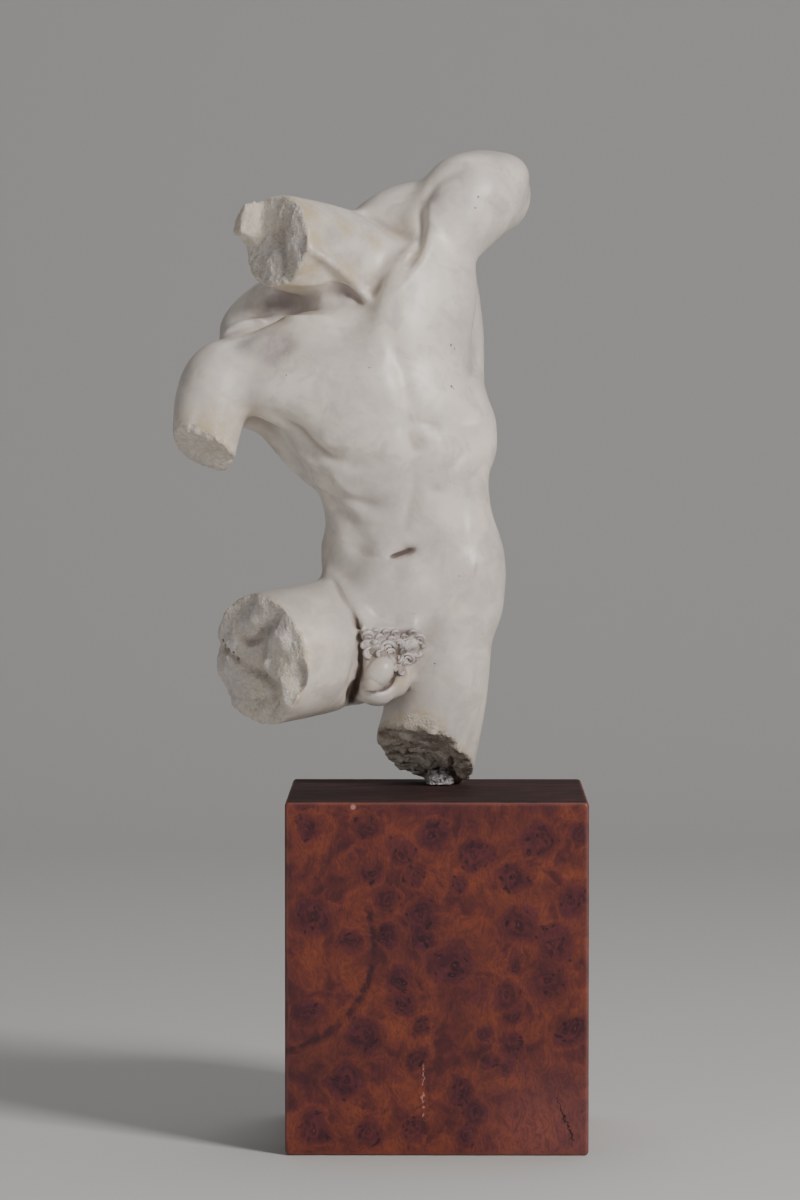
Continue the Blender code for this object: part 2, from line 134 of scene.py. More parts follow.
def facets(points, size, seed=0):
    """Flats that meet at edges, about -0.5 to 0.5: the highest of the tilted planes of the nearest cells."""
    spots = points / size
    cell = np.floor(spots).astype(np.int64)
    nearest = np.full(len(points), np.inf)
    height = np.zeros(len(points))
    for step in np.ndindex(3, 3, 3):
        home = cell + np.array(step) - 1
        shift = np.stack([scattered(home, seed + k) for k in range(3)], axis=-1)
        tilt = np.stack([scattered(home, seed + 3 + k) for k in range(3)], axis=-1)
        offset = spots - home - 0.5 - 0.4 * shift
        distance = np.linalg.norm(offset, axis=1)
        closer = distance < nearest
        nearest[closer] = distance[closer]
        height[closer] = (offset * tilt).sum(axis=1)[closer]
    return height


def summed(kind, points, rows):
    """The sum of a kind of noise over rows of height, size and seed."""
    return sum(height * kind(points, size, seed) for height, size, seed in rows)


def neighbour_mean(values, edges):
    """For every vertex, the mean of the values at the other ends of its edges."""
    count = len(values)
    degree = np.bincount(edges.ravel(), minlength=count)
    sums = np.zeros(values.shape)
    columns = values.reshape(count, -1)
    flat = sums.reshape(count, -1)
    for k in range(columns.shape[1]):
        flat[:, k] = np.bincount(edges[:, 0], columns[edges[:, 1], k], count)
        flat[:, k] += np.bincount(edges[:, 1], columns[edges[:, 0], k], count)
    return flat.reshape(values.shape) / np.maximum(degree, 1).reshape(-1, *[1] * (values.ndim - 1))


def relaxed(values, edges, rounds, pull=0.5):
    """Values drawn towards their neighbours' mean, by pull in each round."""
    for _ in range(rounds):
        values = values + pull * (neighbour_mean(values, edges) - values)
    return values


# The figure

# Breaks, as in the solid: a point on the face, the way it faces, its reach, and how much relief it has.
# Millimetres over the block's top.
BREAKS = {
    "neck": ((-64.5, -20, 219), (-0.72, -0.68, 0.08), 24, 0.35),
    "side of the neck's chip": ((-74.3, -14.2, 229.2), (0.68, -0.73, 0.0), 12, 0.3),
    "left arm": ((25, 35, 241), (0.45, 0.89, 0.06), 22, 0.9),
    "right arm": ((-93.5, -18, 137.5), (-0.33, -0.5, -0.8), 20, 0.7),
    "right thigh": ((-71, -30, 56), (-0.72, -0.69, -0.11), 34, 0.45),
    "left thigh": ((-5, 17, 14.5), (-0.32, -0.42, -0.85), 30, 1.1),
}
BREAK_DEPTH = (-3.6, 11.0)  # how far a broken face may stray from its plane
BREAK_CORE = (0.42, 0.3)  # shares of its reach within which all of it is broken
BREAK_SLOPE = (0.5, 0.7)  # how far the surface has to face the way of the break, as a cosine
SKIN_VOXEL = 1.33  # millimetres between the points of the even mesh
SKIN_ROUNDS = 7
BROAD_ROUNDS = 16  # rounds of smoothing after which only the broad forms are left, to tell hollows by
VALLEY_ROUNDS = 88
RIM_KEPT = 0.88  # shares of the smoothing that the rims of the breaks and the groin are spared
GROIN_KEPT = 0.75
# Rows of height, size of lumps and seed, in millimetres: flats and crumbs of the breaks, waves of the skin.
BREAK_FLATS = ((1.9, 10.0, 1), (1.0, 4.6, 11))
BREAK_CRUMBS = ((0.30, 1.7, 3), (0.16, 0.9, 4))
SKIN_WAVES = ((0.16, 13.0, 7), (0.05, 4.5, 8))
NARROW = 1.75  # strokes below this half width get a finer mesh
GROIN = (-21, -26, 46)  # the middle of the carving that is kept crisp
GROIN_REACH = 14


def over_block(point):
    """A point given in millimetres over the block's top, in metres."""
    return np.array(point, float) * MM + (0, 0, BLOCK_TOP)


def broken_share(points, normals):
    """1 on the broken faces and 0 on the skin: close to a break's plane, and at its core or sloped like it."""
    share = np.zeros(len(points))
    for at, facing, reach, _ in BREAKS.values():
        facing = unit(np.array(facing, float))
        offset = (points - over_block(at)) / MM
        depth = offset @ facing
        across = np.linalg.norm(offset - depth[:, None] * facing, axis=1)
        inside = (across < reach) & (depth > BREAK_DEPTH[0]) & (depth < BREAK_DEPTH[1])
        core = smoothstep(*BREAK_CORE, across / reach)
        share = np.maximum(share, inside * np.maximum(core, smoothstep(*BREAK_SLOPE, normals @ facing)))
    return share


def nearest_break(points):
    """For every point, the way the nearest break faces and how much relief it has."""
    best = np.full(len(points), np.inf)
    facing = np.zeros(points.shape)
    relief = np.zeros(len(points))
    for at, way, _, amount in BREAKS.values():
        distance = np.linalg.norm(points - over_block(at), axis=1)
        closer = distance < best
        best[closer] = distance[closer]
        facing[closer] = unit(np.array(way, float))
        relief[closer] = amount
    return facing, relief


def merged_copy(node):
    """A node's surface with its loose triangles joined, as a new object."""
    bm = bmesh.new()
    bm.from_mesh(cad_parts[node].data)
    bmesh.ops.remove_doubles(bm, verts=bm.verts[:], dist=MERGE_SOLID)
    mesh = bpy.data.meshes.new(node)
    bm.to_mesh(mesh)
    bm.free()
    obj = bpy.data.objects.new(node + " copy", mesh)
    bpy.context.scene.collection.objects.link(obj)
    return obj


def even_skin(node, voxel):
    """The node's surface as an even mesh of small quads."""
    source = merged_copy(node)
    remesh = source.modifiers.new("even", "REMESH")
    remesh.mode = "VOXEL"
    remesh.voxel_size = voxel
    mesh = bpy.data.meshes.new_from_object(source.evaluated_get(bpy.context.evaluated_depsgraph_get()))
    bpy.data.objects.remove(source)
    return mesh


def refine(mesh, chosen):
    """Halves the mesh's edges where both ends are chosen."""
    bm = bmesh.new()
    bm.from_mesh(mesh)
    edges = [edge for edge, pick in zip(bm.edges, chosen[read_edges(mesh)].all(axis=1)) if pick]
    bmesh.ops.subdivide_edges(bm, edges=edges, cuts=1, use_grid_fill=True)
    bm.to_mesh(mesh)
    bm.free()


def curve_through(rows, per_span=8):
    """Points on a smooth cubic curve through the given rows."""
    rows = np.array(rows, float)
    rows = np.vstack((2 * rows[0] - rows[1], rows, 2 * rows[-1] - rows[-2]))
    t = (np.arange(per_span) / per_span)[:, None]
    spans = []
    for a, b, c, d in zip(rows, rows[1:], rows[2:], rows[3:]):
        cubic = (1.5 * b - 0.5 * a - 1.5 * c + 0.5 * d) * t**3 + (a - 2.5 * b + 2 * c - 0.5 * d) * t**2
        spans.append(cubic + 0.5 * (c - a) * t + b)
    return np.vstack((*spans, rows[-2]))


def surface_seen(mesh, facing):
    """Gives the point of the mesh that is seen at x and z, in millimetres over the block, against facing."""
    tree = BVHTree.FromPolygons([v.co for v in mesh.vertices], [f.vertices for f in mesh.polygons])

    def seen(x, z):
        start = Vector(over_block((x, 0, z)) + 0.2 * facing)
        hit = tree.ray_cast(start, Vector(-facing))[0]
        return np.array(hit if hit else over_block((x, 0, z)))

    return seen


def stroke_weight(points, course, width):
    """1 on the course, a bell curve across it, fading to its two ends. Lengths in metres."""
    course = curve_through(course, per_span=4)
    lengths = np.linalg.norm(np.diff(course, axis=0), axis=1)
    reached = np.concatenate(([0], np.cumsum(lengths))) / lengths.sum()
    low, high = course.min(axis=0) - 3 * width, course.max(axis=0) + 3 * width
    near = ((points > low) & (points < high)).all(axis=1)
    points = points[near]
    nearest = np.full(len(points), np.inf)
    share = np.zeros(len(points))
    for a, b, start, end in zip(course, course[1:], reached, reached[1:]):
        step = b - a
        offset = points - a
        t = np.clip(offset @ step / (step @ step), 0, 1)
        distance = np.linalg.norm(offset - t[:, None] * step, axis=1)
        closer = distance < nearest
        nearest[closer] = distance[closer]
        share[closer] = (start + t * (end - start))[closer]
    weight = np.zeros(len(near))
    weight[near] = np.exp(-((nearest / width) ** 2)) * smoothstep(-0.08, 0.3, np.minimum(share, 1 - share))
    return weight


def narrow_share(points, seen):
    """1 where a stroke of the fine carving is too narrow for the even mesh, 0 away from it."""
    share = np.zeros(len(points))
    for course, width, _ in FINE_STROKES.values():
        if width < NARROW:
            course = [seen(x, z) for x, z in course]
            share = np.maximum(share, stroke_weight(points, course, 1.7 * width * MM))
    return share


# Fine carving on the front, in millimetres: course as x and z, half width, height raised or, below zero, cut.
FINE_STROKES = {
    "right clavicle":
        ([(-90, 181.5), (-81, 187.5), (-71, 189.7), (-60, 190.5), (-50, 191), (-40, 190.5)], 1.3, 1.7),
    "under the clavicle": ([(-86, 178), (-75, 183.5), (-60, 185.5), (-46, 187)], 2.4, -0.6),
    "over the clavicle": ([(-81, 190.2), (-71, 192.4), (-60, 193.4), (-46, 194.2)], 1.4, -1.6),
    "tendon of the neck":
        ([(-52, 218.5), (-45.5, 215), (-39, 210.6), (-34, 206), (-30, 201), (-25, 196)], 1.7, 2.0),
    "second tendon": ([(-60, 205), (-50, 204.5), (-41, 206)], 1.7, 0.6),
    "fold of the neck": ([(-50, 226), (-42, 219), (-35, 212), (-30, 206)], 2.2, -0.5),
    "pit under the tendon": ([(-43, 205), (-38, 203.5), (-33, 199.5), (-29, 196)], 1.6, -1.7),
    "over the neck": ([(-34, 236.5), (-19.5, 227), (-9, 222.5)], 1.7, -0.7),
    "left neck groove": ([(-7, 238), (-6.5, 228), (-8, 219), (-14, 210.5)], 1.5, -0.7),
    "left clavicle": ([(-3, 238), (-2.8, 228), (-4.5, 218), (-10.5, 208), (-19, 199)], 1.7, 0.6),
    "left shoulder groove": ([(-5, 237), (-1, 244.5), (6, 249), (14, 252.5)], 2.0, -0.6),
    "left armpit crease": ([(18, 184), (15.5, 174), (12, 165)], 1.8, -0.4),
    "right pectoral edge": ([(-67, 153.5), (-56, 147), (-49, 140), (-43, 135.5), (-37, 134)], 2.3, -1.4),
    "corner of the pectoral": ([(-47, 143.5), (-41.5, 140), (-34, 142)], 2.8, 0.9),
    "under its corner": ([(-38, 131.5), (-28, 132), (-19, 134.5)], 3.0, -0.8),
    "left pectoral edge": ([(-15, 149.5), (-6, 149.5), (2, 147.5)], 2.6, -0.6),
    "breastbone": ([(-21, 190), (-15.5, 174), (-12, 158), (-10.5, 150)], 3.0, -0.5),
    "pit of the stomach": ([(-11, 148), (-9.3, 141.5), (-6.5, 136)], 2.4, -1.0),
    "beside the pit": ([(-16, 146), (-14, 141), (-12, 136)], 2.6, 0.5),
    "left of the pit": ([(-8, 149.5), (-2, 148), (4, 145)], 3.4, -0.7),
    "middle of the belly": ([(-8.5, 134), (-9, 122), (-11.5, 110), (-13, 101)], 2.6, -0.6),
    "right costal edge": ([(-44, 129), (-36, 121.5), (-27, 119)], 2.6, 0.8),
    "under the costal edge": ([(-47, 128), (-39, 120.5), (-31, 117.5), (-22, 114)], 2.8, -0.8),
    "second belly crease": ([(-32, 108), (-24, 106), (-17, 107.5)], 2.4, -0.3),
    "left belly crease": ([(-5, 121.5), (1, 122.5), (7, 120)], 2.2, -0.4),
    "left border of the belly": ([(14, 121), (12.5, 108), (11.5, 99)], 3.4, 0.8),
    "crease by the navel": ([(-35, 99), (-27, 96), (-18, 94.5)], 2.2, -0.7),
    "navel": ([(-21, 94.2), (-14.0, 96.8), (-7, 99.0)], 1.35, -2.0),
    "crease past the navel": ([(-11, 98.4), (-5, 100.4), (1, 100.6)], 2.0, -0.6),
    "under the navel": ([(-15.5, 92), (-16.5, 86), (-16.5, 80)], 2.2, -0.5),
    "right flank furrow": ([(-45, 120), (-36, 112), (-30, 104), (-24.5, 97.5)], 3.8, -0.8),
    "right groin": ([(-43, 87), (-38, 79.5), (-33.5, 73), (-31, 66), (-30.4, 58)], 1.1, -1.3),
    "right groin, below": ([(-35, 76), (-32, 70), (-30.6, 62), (-30.6, 53), (-32.5, 44)], 1.5, -2.6),
    "gap by the pouch": ([(-30.4, 52), (-32, 45), (-34, 39), (-36, 34)], 2.0, -3.6),
    "left groin": ([(16.5, 84), (8.5, 75), (1, 66.5), (-4, 60)], 2.4, -0.5),
    "left inner thigh": ([(-5, 59.5), (-10, 47.5), (-17, 36.5)], 1.6, -0.7),
    "right hip bone": ([(-48, 91), (-40.5, 86), (-35, 80)], 2.2, 0.6),
    "left hip bone": ([(25, 95), (17, 93), (10, 87.5)], 2.6, 0.6),
    "first rib slip": ([(-57, 140), (-48, 131)], 2.0, 1.3),
    "second rib slip": ([(-54, 131), (-45, 123)], 2.0, 1.3),
    "third rib slip": ([(-49, 122.5), (-40, 116)], 2.0, 1.0),
    "between the slips": ([(-56, 135), (-46, 126.5)], 1.6, -0.9),
    "under the slips": ([(-51, 126.5), (-42, 119)], 1.6, -0.9),
    "first left rib": ([(23.5, 153), (16.5, 149), (9, 146)], 2.4, 0.6),
    "left rib slip": ([(5.8, 126), (10, 131), (14.5, 136.5)], 1.8, 0.5),
    "over the left slip": ([(3, 128), (7.5, 133.5), (12, 139)], 1.9, -0.5),
    "under the left slip": ([(10, 123.5), (15, 128), (20, 133)], 1.9, -0.6),
    "third left rib": ([(21, 127), (15, 122)], 1.9, 0.7),
    "over the hair": ([(-30, 68.5), (-19, 69), (-6, 67.5)], 1.9, -1.1),
    "round the shaft": ([(-29.5, 41), (-24.5, 41.3), (-19, 43.8), (-16.6, 49), (-17.6, 54)], 1.3, -2.2),
}

# Relief of the broken faces, in the same terms, raised or cut along the way that the break faces.
FRACTURES = {
    "thigh, upper lobe": ([(-68, 79), (-71.5, 72), (-73.5, 66.5)], 4.4, 2.6),
    "thigh, step under it": ([(-80, 63.5), (-76, 61.5), (-71.5, 63), (-66, 70)], 1.7, -3.8),
    "thigh, valley": ([(-63, 74), (-67, 66), (-71, 58)], 1.6, -3.4),
    "thigh, right lobe": ([(-62, 67), (-60.5, 61), (-61.5, 57)], 3.2, 1.5),
    "thigh, outer lobe": ([(-84, 72), (-86, 64), (-82, 57)], 3.6, 1.9),
    "thigh, under the outer lobe": ([(-87, 60), (-83, 56), (-77, 52)], 1.3, -1.6),
    "thigh, middle bump": ([(-69.5, 55), (-66, 53)], 2.8, 2.4),
    "thigh, low valley": ([(-78, 52), (-70, 48.5), (-65, 44), (-65.5, 36), (-67, 31)], 2.2, -3.2),
    "thigh, lower ridge": ([(-60.5, 55), (-60.5, 44), (-60, 34)], 3.0, 1.1),
    "thigh, lower flat": ([(-82, 46), (-77, 40), (-72, 35)], 5.0, 1.2),
    "thigh, chip in its rim": ([(-54.5, 56), (-53, 50), (-56, 43)], 2.4, -2.2),
    "neck, valley": ([(-63, 232), (-61.5, 217), (-59.5, 206)], 2.2, -0.9),
    "neck, right ridge": ([(-55.5, 229), (-56.5, 219), (-55, 208)], 2.6, 0.5),
    "neck, left flat": ([(-70, 216), (-68, 207)], 4.0, 0.6),
    "arm, inner oval": ([(-98, 146), (-94, 144)], 3.0, 0.9),
    "arm, right edge": ([(-91, 142), (-88, 137)], 1.8, 0.7),
    "left thigh, light flat": ([(-19, 24), (-10, 25), (-2, 19)], 2.6, 0.9),
    "left thigh, groove": ([(-12, 27.5), (-4, 23), (4, 17), (9, 11)], 1.2, -1.0),
    "left thigh, hollow": ([(-20, 12), (-12, 12), (-4, 9)], 3.0, -1.4),
}

# Patches of colour on the skin: x and z of the middle, size, and share. Ochre lies on the old outer skin.
OCHRE = {
    "neck": (-50, 222, 17, 0.5),
    "neck's rim above": (-52, 234, 7, 1.0),
    "neck's rim": (-49, 222, 6, 1.0),
    "neck's rim below": (-51, 211, 7, 1.0),
    "under the neck's end": (-58, 204, 10, 0.9),
    "tendon": (-36, 208, 8, 0.8),
    "upper tendon": (-37, 227, 6, 0.8),
    "upper tendon's end": (-25, 221, 6, 0.7),
    "groove over the neck": (-14, 225, 7, 0.6),
    "left neck groove": (-8, 216, 6, 0.6),
    "clavicle": (-62, 190, 9, 0.5),
    "right arm's end": (-90, 146, 12, 0.8),
    "under the right arm": (-74, 152, 9, 0.6),
    "right thigh": (-50, 60, 20, 0.4),
    "shaft": (-25, 46, 7, 0.4),
    "pouch": (-13, 47, 6, 1.0),
    "left thigh's end": (-8, 28, 11, 0.5),
}
# Fine scratches on the skin, in the same terms.
SCRATCHED = {"left hip": (15, 91, 11, 1.0), "beside the navel": (4, 96, 8, 0.8)}
# The left thigh's break faces down and is painted with shade: its middle, and how far from it on each axis, in
# metres.
DARK_BREAK = (-5, 17, 14.5)
DARK_REACH = 0.04
# On the breaks, in the same terms as the colours: smooth flats, pale places left out of the painted shade, and
# places painted with shade.
FLATS = {"left thigh's flat": (-11, 27, 10, 1.0), "beside it": (2, 19, 8, 1.0)}
PALE = {"left thigh's flat": (-13, 22.5, 4.6, 1.0), "beside it": (-5, 18, 4.0, 0.9)}
DIM = {"side of the neck's chip": (-76, 230, 7, 0.7), "foot of the neck": (-64, 206, 5, 0.3)}
# Grey and violet on the skin, partly discolouring and mostly painted shade in its pits, creases and undersides,
# in the same terms.
SHADE_AND_DISCOLOURING_SPOTS = {
    "right thigh's underside": (-44, 38, 12, 0.5),
    "neck, above": (-43, 223, 7, 0.7),
    "neck, below": (-32, 216, 7, 0.6),
    "under the tendon": (-37, 201, 4.5, 1.0),
    "over the clavicle": (-64, 197, 9, 1.0),
    "under the clavicle": (-63, 179, 9, 1.0),
    "by the deltoid": (-78, 179, 6, 0.7),
    "left shoulder": (-1, 240, 5, 0.8),
    "raised arm": (24, 236, 9, 0.5),
    "pit of the stomach": (-7, 142, 6, 0.7),
    "over the pit": (-8, 150, 6, 0.4),
    "left of the pit": (-1, 147, 5, 0.5),
    "belly": (-26, 116, 6, 0.5),
    "left of the belly": (0, 123, 7, 0.35),
    "flank": (-36, 110, 9, 0.35),
    "navel": (-11, 98, 5, 0.6),
    "past the navel": (-3, 100.5, 4, 0.5),
    "over the hip": (-30, 96, 6, 0.4),
    "groin": (-19, 60, 12, 0.7),
    "left armpit": (13, 172, 8, 0.5),
}


def stroke_height(points, strokes, seen):
    """The sum of the strokes at every point, in metres."""
    height = np.zeros(len(points))
    for course, width, depth in strokes.values():
        course = [seen(x, z) for x, z in course]
        height += depth * MM * stroke_weight(points, course, width * MM)
    return height


def cut_share(points, strokes, seen, least, spread):
    """1 on the strokes cut deeper than least millimetres, their width times spread, and 0 away from them."""
    cuts = {name: (row[0], spread * row[1], 1) for name, row in strokes.items() if row[2] < -least}
    return np.clip(stroke_height(points, cuts, seen) / MM, 0, 1)


def patches(points, spots, seen):
    """0 to 1: for every point the largest of the bell-shaped patches round the given spots."""
    share = np.zeros(len(points))
    for x, z, size, strength in spots.values():
        distance = np.linalg.norm(points - seen(x, z), axis=1) / (size * MM)
        share = np.maximum(share, strength * np.exp(-(distance**2)))
    return share


def break_relief(points):
    """The height of a fracture in millimetres: large flats with small ones on them, and crumbs on those."""
    slanted = points / MM @ np.array(((1.0, 0.0, 0.55), (0.0, 1.0, 0.0), (-0.25, 0.0, 0.7)))
    return summed(facets, slanted, BREAK_FLATS) + summed(lattice_noise, points / MM, BREAK_CRUMBS)


# Locks of hair: x and z of the arc's middle, its radius, first angle and turn, and the lock's thickness.
# Angles run from the viewer's right, upwards.
CURLS = (
    (-27.4, 63.4, 2.6, 205, -235, 1.25), (-27.2, 62.8, 1.1, 180, -200, 0.8),
    (-26.6, 56.8, 2.5, 75, 210, 1.2), (-24.6, 60.2, 1.9, 160, -150, 1.0),
    (-22.6, 62.6, 1.9, 200, -170, 1.0), (-19.2, 58.4, 3.5, 175, -170, 1.15),
    (-18.6, 56.6, 2.0, 165, -190, 0.9), (-18.2, 61.8, 1.7, 180, -170, 0.8),
    (-15.2, 60.0, 2.2, 150, -230, 1.1), (-15.0, 59.6, 0.9, 120, -250, 0.7),
    (-16.4, 54.4, 2.4, 30, -110, 0.95), (-10.6, 59.4, 2.5, 65, 200, 1.15),
    (-12.6, 62.6, 1.8, 190, -170, 0.8), (-6.9, 61.8, 2.3, 165, -280, 1.1), (-6.9, 61.2, 0.9, 90, -240, 0.6),
    (-7.6, 57.0, 2.3, 190, 170, 1.0), (-11.8, 53.6, 2.8, 150, -240, 1.15),
    (-12.4, 51.8, 1.2, 200, -280, 0.75), (-15.6, 50.6, 1.7, 100, 150, 0.85),
    (-22.6, 56.6, 1.6, 60, 200, 0.8), (-24.4, 65.0, 1.6, 170, -150, 0.8), (-20.6, 64.6, 1.7, 20, 170, 0.8),
    (-16.4, 64.4, 1.8, 200, -180, 0.85), (-9.8, 64.4, 1.7, 30, 160, 0.8),
    (-28.6, 60.0, 1.7, 100, 180, 0.85), (-22.8, 59.4, 1.5, 250, 190, 0.8),
    (-12.8, 57.2, 1.7, 250, -200, 0.85), (-9.4, 54.4, 1.8, 110, -220, 0.9),
    (-4.6, 59.2, 1.6, 60, 190, 0.75), (-14.4, 49.2, 1.4, 20, -190, 0.7), (-19.4, 54.4, 1.5, 100, 200, 0.8),
)
CURL_STEPS = 15
CURL_SIDES = 10
INNER_RADIUS = 0.5  # the second strand of a lock, as shares of the first and a turn in degrees
INNER_THICKNESS = 0.7
INNER_TURN = 25
# The shaft: x and z of its root and tip, half width, half depth, and half the width of its small end.
SHAFT = ((-19.0, 54.8), (-28.9, 41.7), 5.2, 4.4, 1.5)


def make_curl(lock, seen):
    """A tube on the skin along an arc: its radius swells from nothing by the root of a sine and back again."""
    x, z, radius, start, sweep, thick = lock
    t = np.linspace(0, 1, CURL_STEPS)
    turn = np.radians(start + sweep * t)
    reach = radius * (1 - 0.35 * t)
    path = np.array([seen(x + r * math.cos(a), z + r * math.sin(a)) for r, a in zip(reach, turn)])
    path[1:-1] = (path[:-2] + 2 * path[1:-1] + path[2:]) / 4
    path = path + FRONT * (0.15 + 0.45 * np.sin(math.pi * t))[:, None] * thick * MM
    width = thick * MM * np.sin(math.pi * t) ** 0.75
    along = unit(np.gradient(path, axis=0))
    side = unit(np.cross(along, FRONT))
    out = np.cross(side, along)
    angle = np.linspace(0, 2 * math.pi, CURL_SIDES, False)
    ring = np.cos(angle)[None, :, None] * side[:, None] + 1.25 * np.sin(angle)[None, :, None] * out[:, None]
    points = path[:, None] + width[:, None, None] * ring
    # Painted shade: the back of each lock, where it meets the skin, is given a deep hollow, so that it darkens.
    crevice = np.tile(0.9 - 1.3 * np.sin(angle), CURL_STEPS)
    return points.reshape(-1, 3), grid_faces(CURL_STEPS, CURL_SIDES, wrap=True), crevice, path


def make_shaft(seen):
    """An egg along a straight path: its radius the root of a parabola, with a small round tip on its end."""
    (x0, z0), (x1, z1), wide, deep, tip = SHAFT
    t = np.linspace(0, 1, 28)
    egg = wide * np.sqrt(np.clip(1 - ((t - 0.41) / 0.42) ** 2, 0, 1))
    nib = tip * np.sqrt(np.clip(1 - ((t - 0.76) / 0.24) ** 2, 0, 1))
    width = np.maximum(egg, nib)
    width[1:-1] = (width[:-2] + 2 * width[1:-1] + width[2:]) / 4
    root, end = seen(x0, z0), seen(x1, z1)
    root[1] = end[1] = seen(x0 + 0.5 * (x1 - x0), z0 + 0.5 * (z1 - z0))[1]
    path = root + t[:, None] * (end - root) + FRONT * (1.0 - deep) * MM
    angle = np.linspace(0, 2 * math.pi, 36, False)
    side = unit(np.cross(end - root, FRONT))
    ring = np.cos(angle)[:, None] * side + deep / wide * np.sin(angle)[:, None] * FRONT
    points = path[:, None] + (width * MM)[:, None, None] * ring
    return points.reshape(-1, 3), grid_faces(len(t), len(angle), wrap=True), np.zeros(len(t) * len(angle)), path


def add_pieces(mesh, pieces):
    """Adds the given points and faces to the mesh, after its own."""
    bm = bmesh.new()
    bm.from_mesh(mesh)
    for points, faces in pieces:
        extra = bpy.data.meshes.new("extra")
        extra.from_pydata(points.tolist(), [], faces.tolist())
        bm.from_mesh(extra)
        bpy.data.meshes.remove(extra)
    bmesh.ops.recalc_face_normals(bm, faces=bm.faces[:])
    bm.to_mesh(mesh)
    bm.free()


def crisp_share(points):
    """1 round the groin, whose small carving keeps its edges."""
    return smoothstep(1.1, 0.9, np.linalg.norm(points - over_block(GROIN), axis=1) / (GROIN_REACH * MM))


def make_torso():
    """The marble: the solid's surface evened out and smoothed, then carved finely, its breaks left rough."""
    mesh = even_skin("torso", SKIN_VOXEL * MM)
    points = read_points(mesh)
    fine = broken_share(points, read_normals(mesh)) + crisp_share(points)
    refine(mesh, fine + narrow_share(points, surface_seen(mesh, FRONT)) > 0.2)
    edges = read_edges(mesh)
    broken = relaxed(broken_share(read_points(mesh), read_normals(mesh)), edges, rounds=2)
    rim = relaxed(broken, edges, rounds=6)
    rim = np.clip(4 * rim * (1 - rim), 0, 1)
    points = read_points(mesh)
    pull = 0.5 * (1 - RIM_KEPT * rim) * (1 - GROIN_KEPT * crisp_share(points))
    points = relaxed(points, edges, SKIN_ROUNDS, pull[:, None])
    write_points(mesh, points)

    normals = read_normals(mesh)
    seen = surface_seen(mesh, FRONT)
    towards = np.clip(0.3 + 1.4 * normals @ FRONT, 0, 1) * (1 - broken)
    carved = points + normals * (stroke_height(points, FINE_STROKES, seen) * towards)[:, None]
    facing, relief = nearest_break(points)
    relief = relief * (1 - np.clip(patches(points, FLATS, seen), 0, 1))
    height = break_relief(points) * relief * MM + stroke_height(points, FRACTURES, seen)
    facing = unit(facing * broken[:, None] + normals * (1 - broken)[:, None])
    points = carved + facing * (height * smoothstep(0.35, 0.95, broken))[:, None]
    waves = summed(lattice_noise, points / MM, SKIN_WAVES)
    points = points + normals * (waves * (1 - broken) * MM)[:, None]
    points = relaxed(points, edges, rounds=1, pull=0.35)
    write_points(mesh, points)

    seen = surface_seen(mesh, FRONT)
    strands = list(CURLS)
    for x, z, radius, start, sweep, thick in CURLS:
        strands.append((x, z, INNER_RADIUS * radius, start + INNER_TURN, sweep, INNER_THICKNESS * thick))
    locks = [make_curl(strand, seen) for strand in strands]
    path = np.vstack([lock[3] for lock in locks])
    locks.append(make_shaft(seen))
    broad = relaxed(points, edges, BROAD_ROUNDS)
    # How far each point lies in a hollow, for the patina and the painted shade there.
    hollow = ((broad - points) * read_normals(mesh)).sum(axis=1) / MM
    # How far each point lies in a broad valley, for the painted shade there.
    valley = ((relaxed(broad, edges, VALLEY_ROUNDS) - points) * read_normals(mesh)).sum(axis=1) / MM
    close = np.linalg.norm(points - over_block(GROIN), axis=1) < GROIN_REACH * MM
    reach = np.linalg.norm(points[close][:, None] - path, axis=2).min(axis=1) / MM
    # Painted shade round the locks of hair: the skin next to them counts as hollow.
    hollow[close] += 0.9 * np.exp(-((reach / 1.7) ** 2))
    hair = np.zeros(len(points))
    hair[close] = np.exp(-((reach / 2.6) ** 2))
    # Painted shade on the left thigh's break, which faces down.
    dark = broken * (np.abs(points - over_block(DARK_BREAK)).max(axis=1) < DARK_REACH)
    masks = {
        "broken": smoothstep(0.35, 0.65, broken),
        "rim": rim,
        "hollow": np.clip(hollow, -2, 2),
        "ochre": patches(points, OCHRE, seen),
        "soot": patches(points, SHADE_AND_DISCOLOURING_SPOTS, seen),
        "hair": hair,
        # The deepest cuts, for the painted shadow in them.
        "deep": cut_share(points, FINE_STROKES, seen, 1.7, 1.1),
        "valley": np.clip(valley, -3, 3),
        "scratched": patches(points, SCRATCHED, seen),
        "creased": cut_share(points, FRACTURES, seen, 0.8, 1.25),
        "dark": np.maximum(dark * (1 - patches(points, PALE, seen)), patches(points, DIM, seen)),
    }
    add_pieces(mesh, [lock[:2] for lock in locks])
    added = {"hollow": np.concatenate([lock[2] for lock in locks])}
    added["hair"] = np.repeat([1.0] * (len(locks) - 1) + [0.0], [len(lock[0]) for lock in locks])
    added["ochre"] = 0.3 * (1 - added["hair"])
    for name, values in masks.items():
        write_mask(mesh, name, np.concatenate((values, added.get(name, np.zeros(len(added["hollow"]))))))
    torso = bpy.data.objects.new("torso_marble", mesh)
    bpy.context.scene.collection.objects.link(torso)
    mesh.polygons.foreach_set("use_smooth", np.full(len(mesh.polygons), True))
    return torso


# The block and the mortar

EDGE_RADIUS = 1.6
WEAR_REACH = 1.6  # how far from an edge it is worn, and how deep, in millimetres
WEAR_DEPTH = 0.45
PALE_REACH = 0.8


def block_side(axis, sign, cells=60):
    """One side of a cube of half size 1 as a grid, closer spaced towards its edges by a sine."""
    steps = np.sin(np.linspace(-math.pi / 2, math.pi / 2, cells + 1))
    u, v = np.meshgrid(steps, steps * sign, indexing="ij")
    side = np.empty((cells + 1, cells + 1, 3))
    side[..., axis] = sign
    side[..., (axis + 1) % 3] = u
    side[..., (axis + 2) % 3] = v
    return side.reshape(-1, 3), grid_faces(cells + 1, cells + 1)


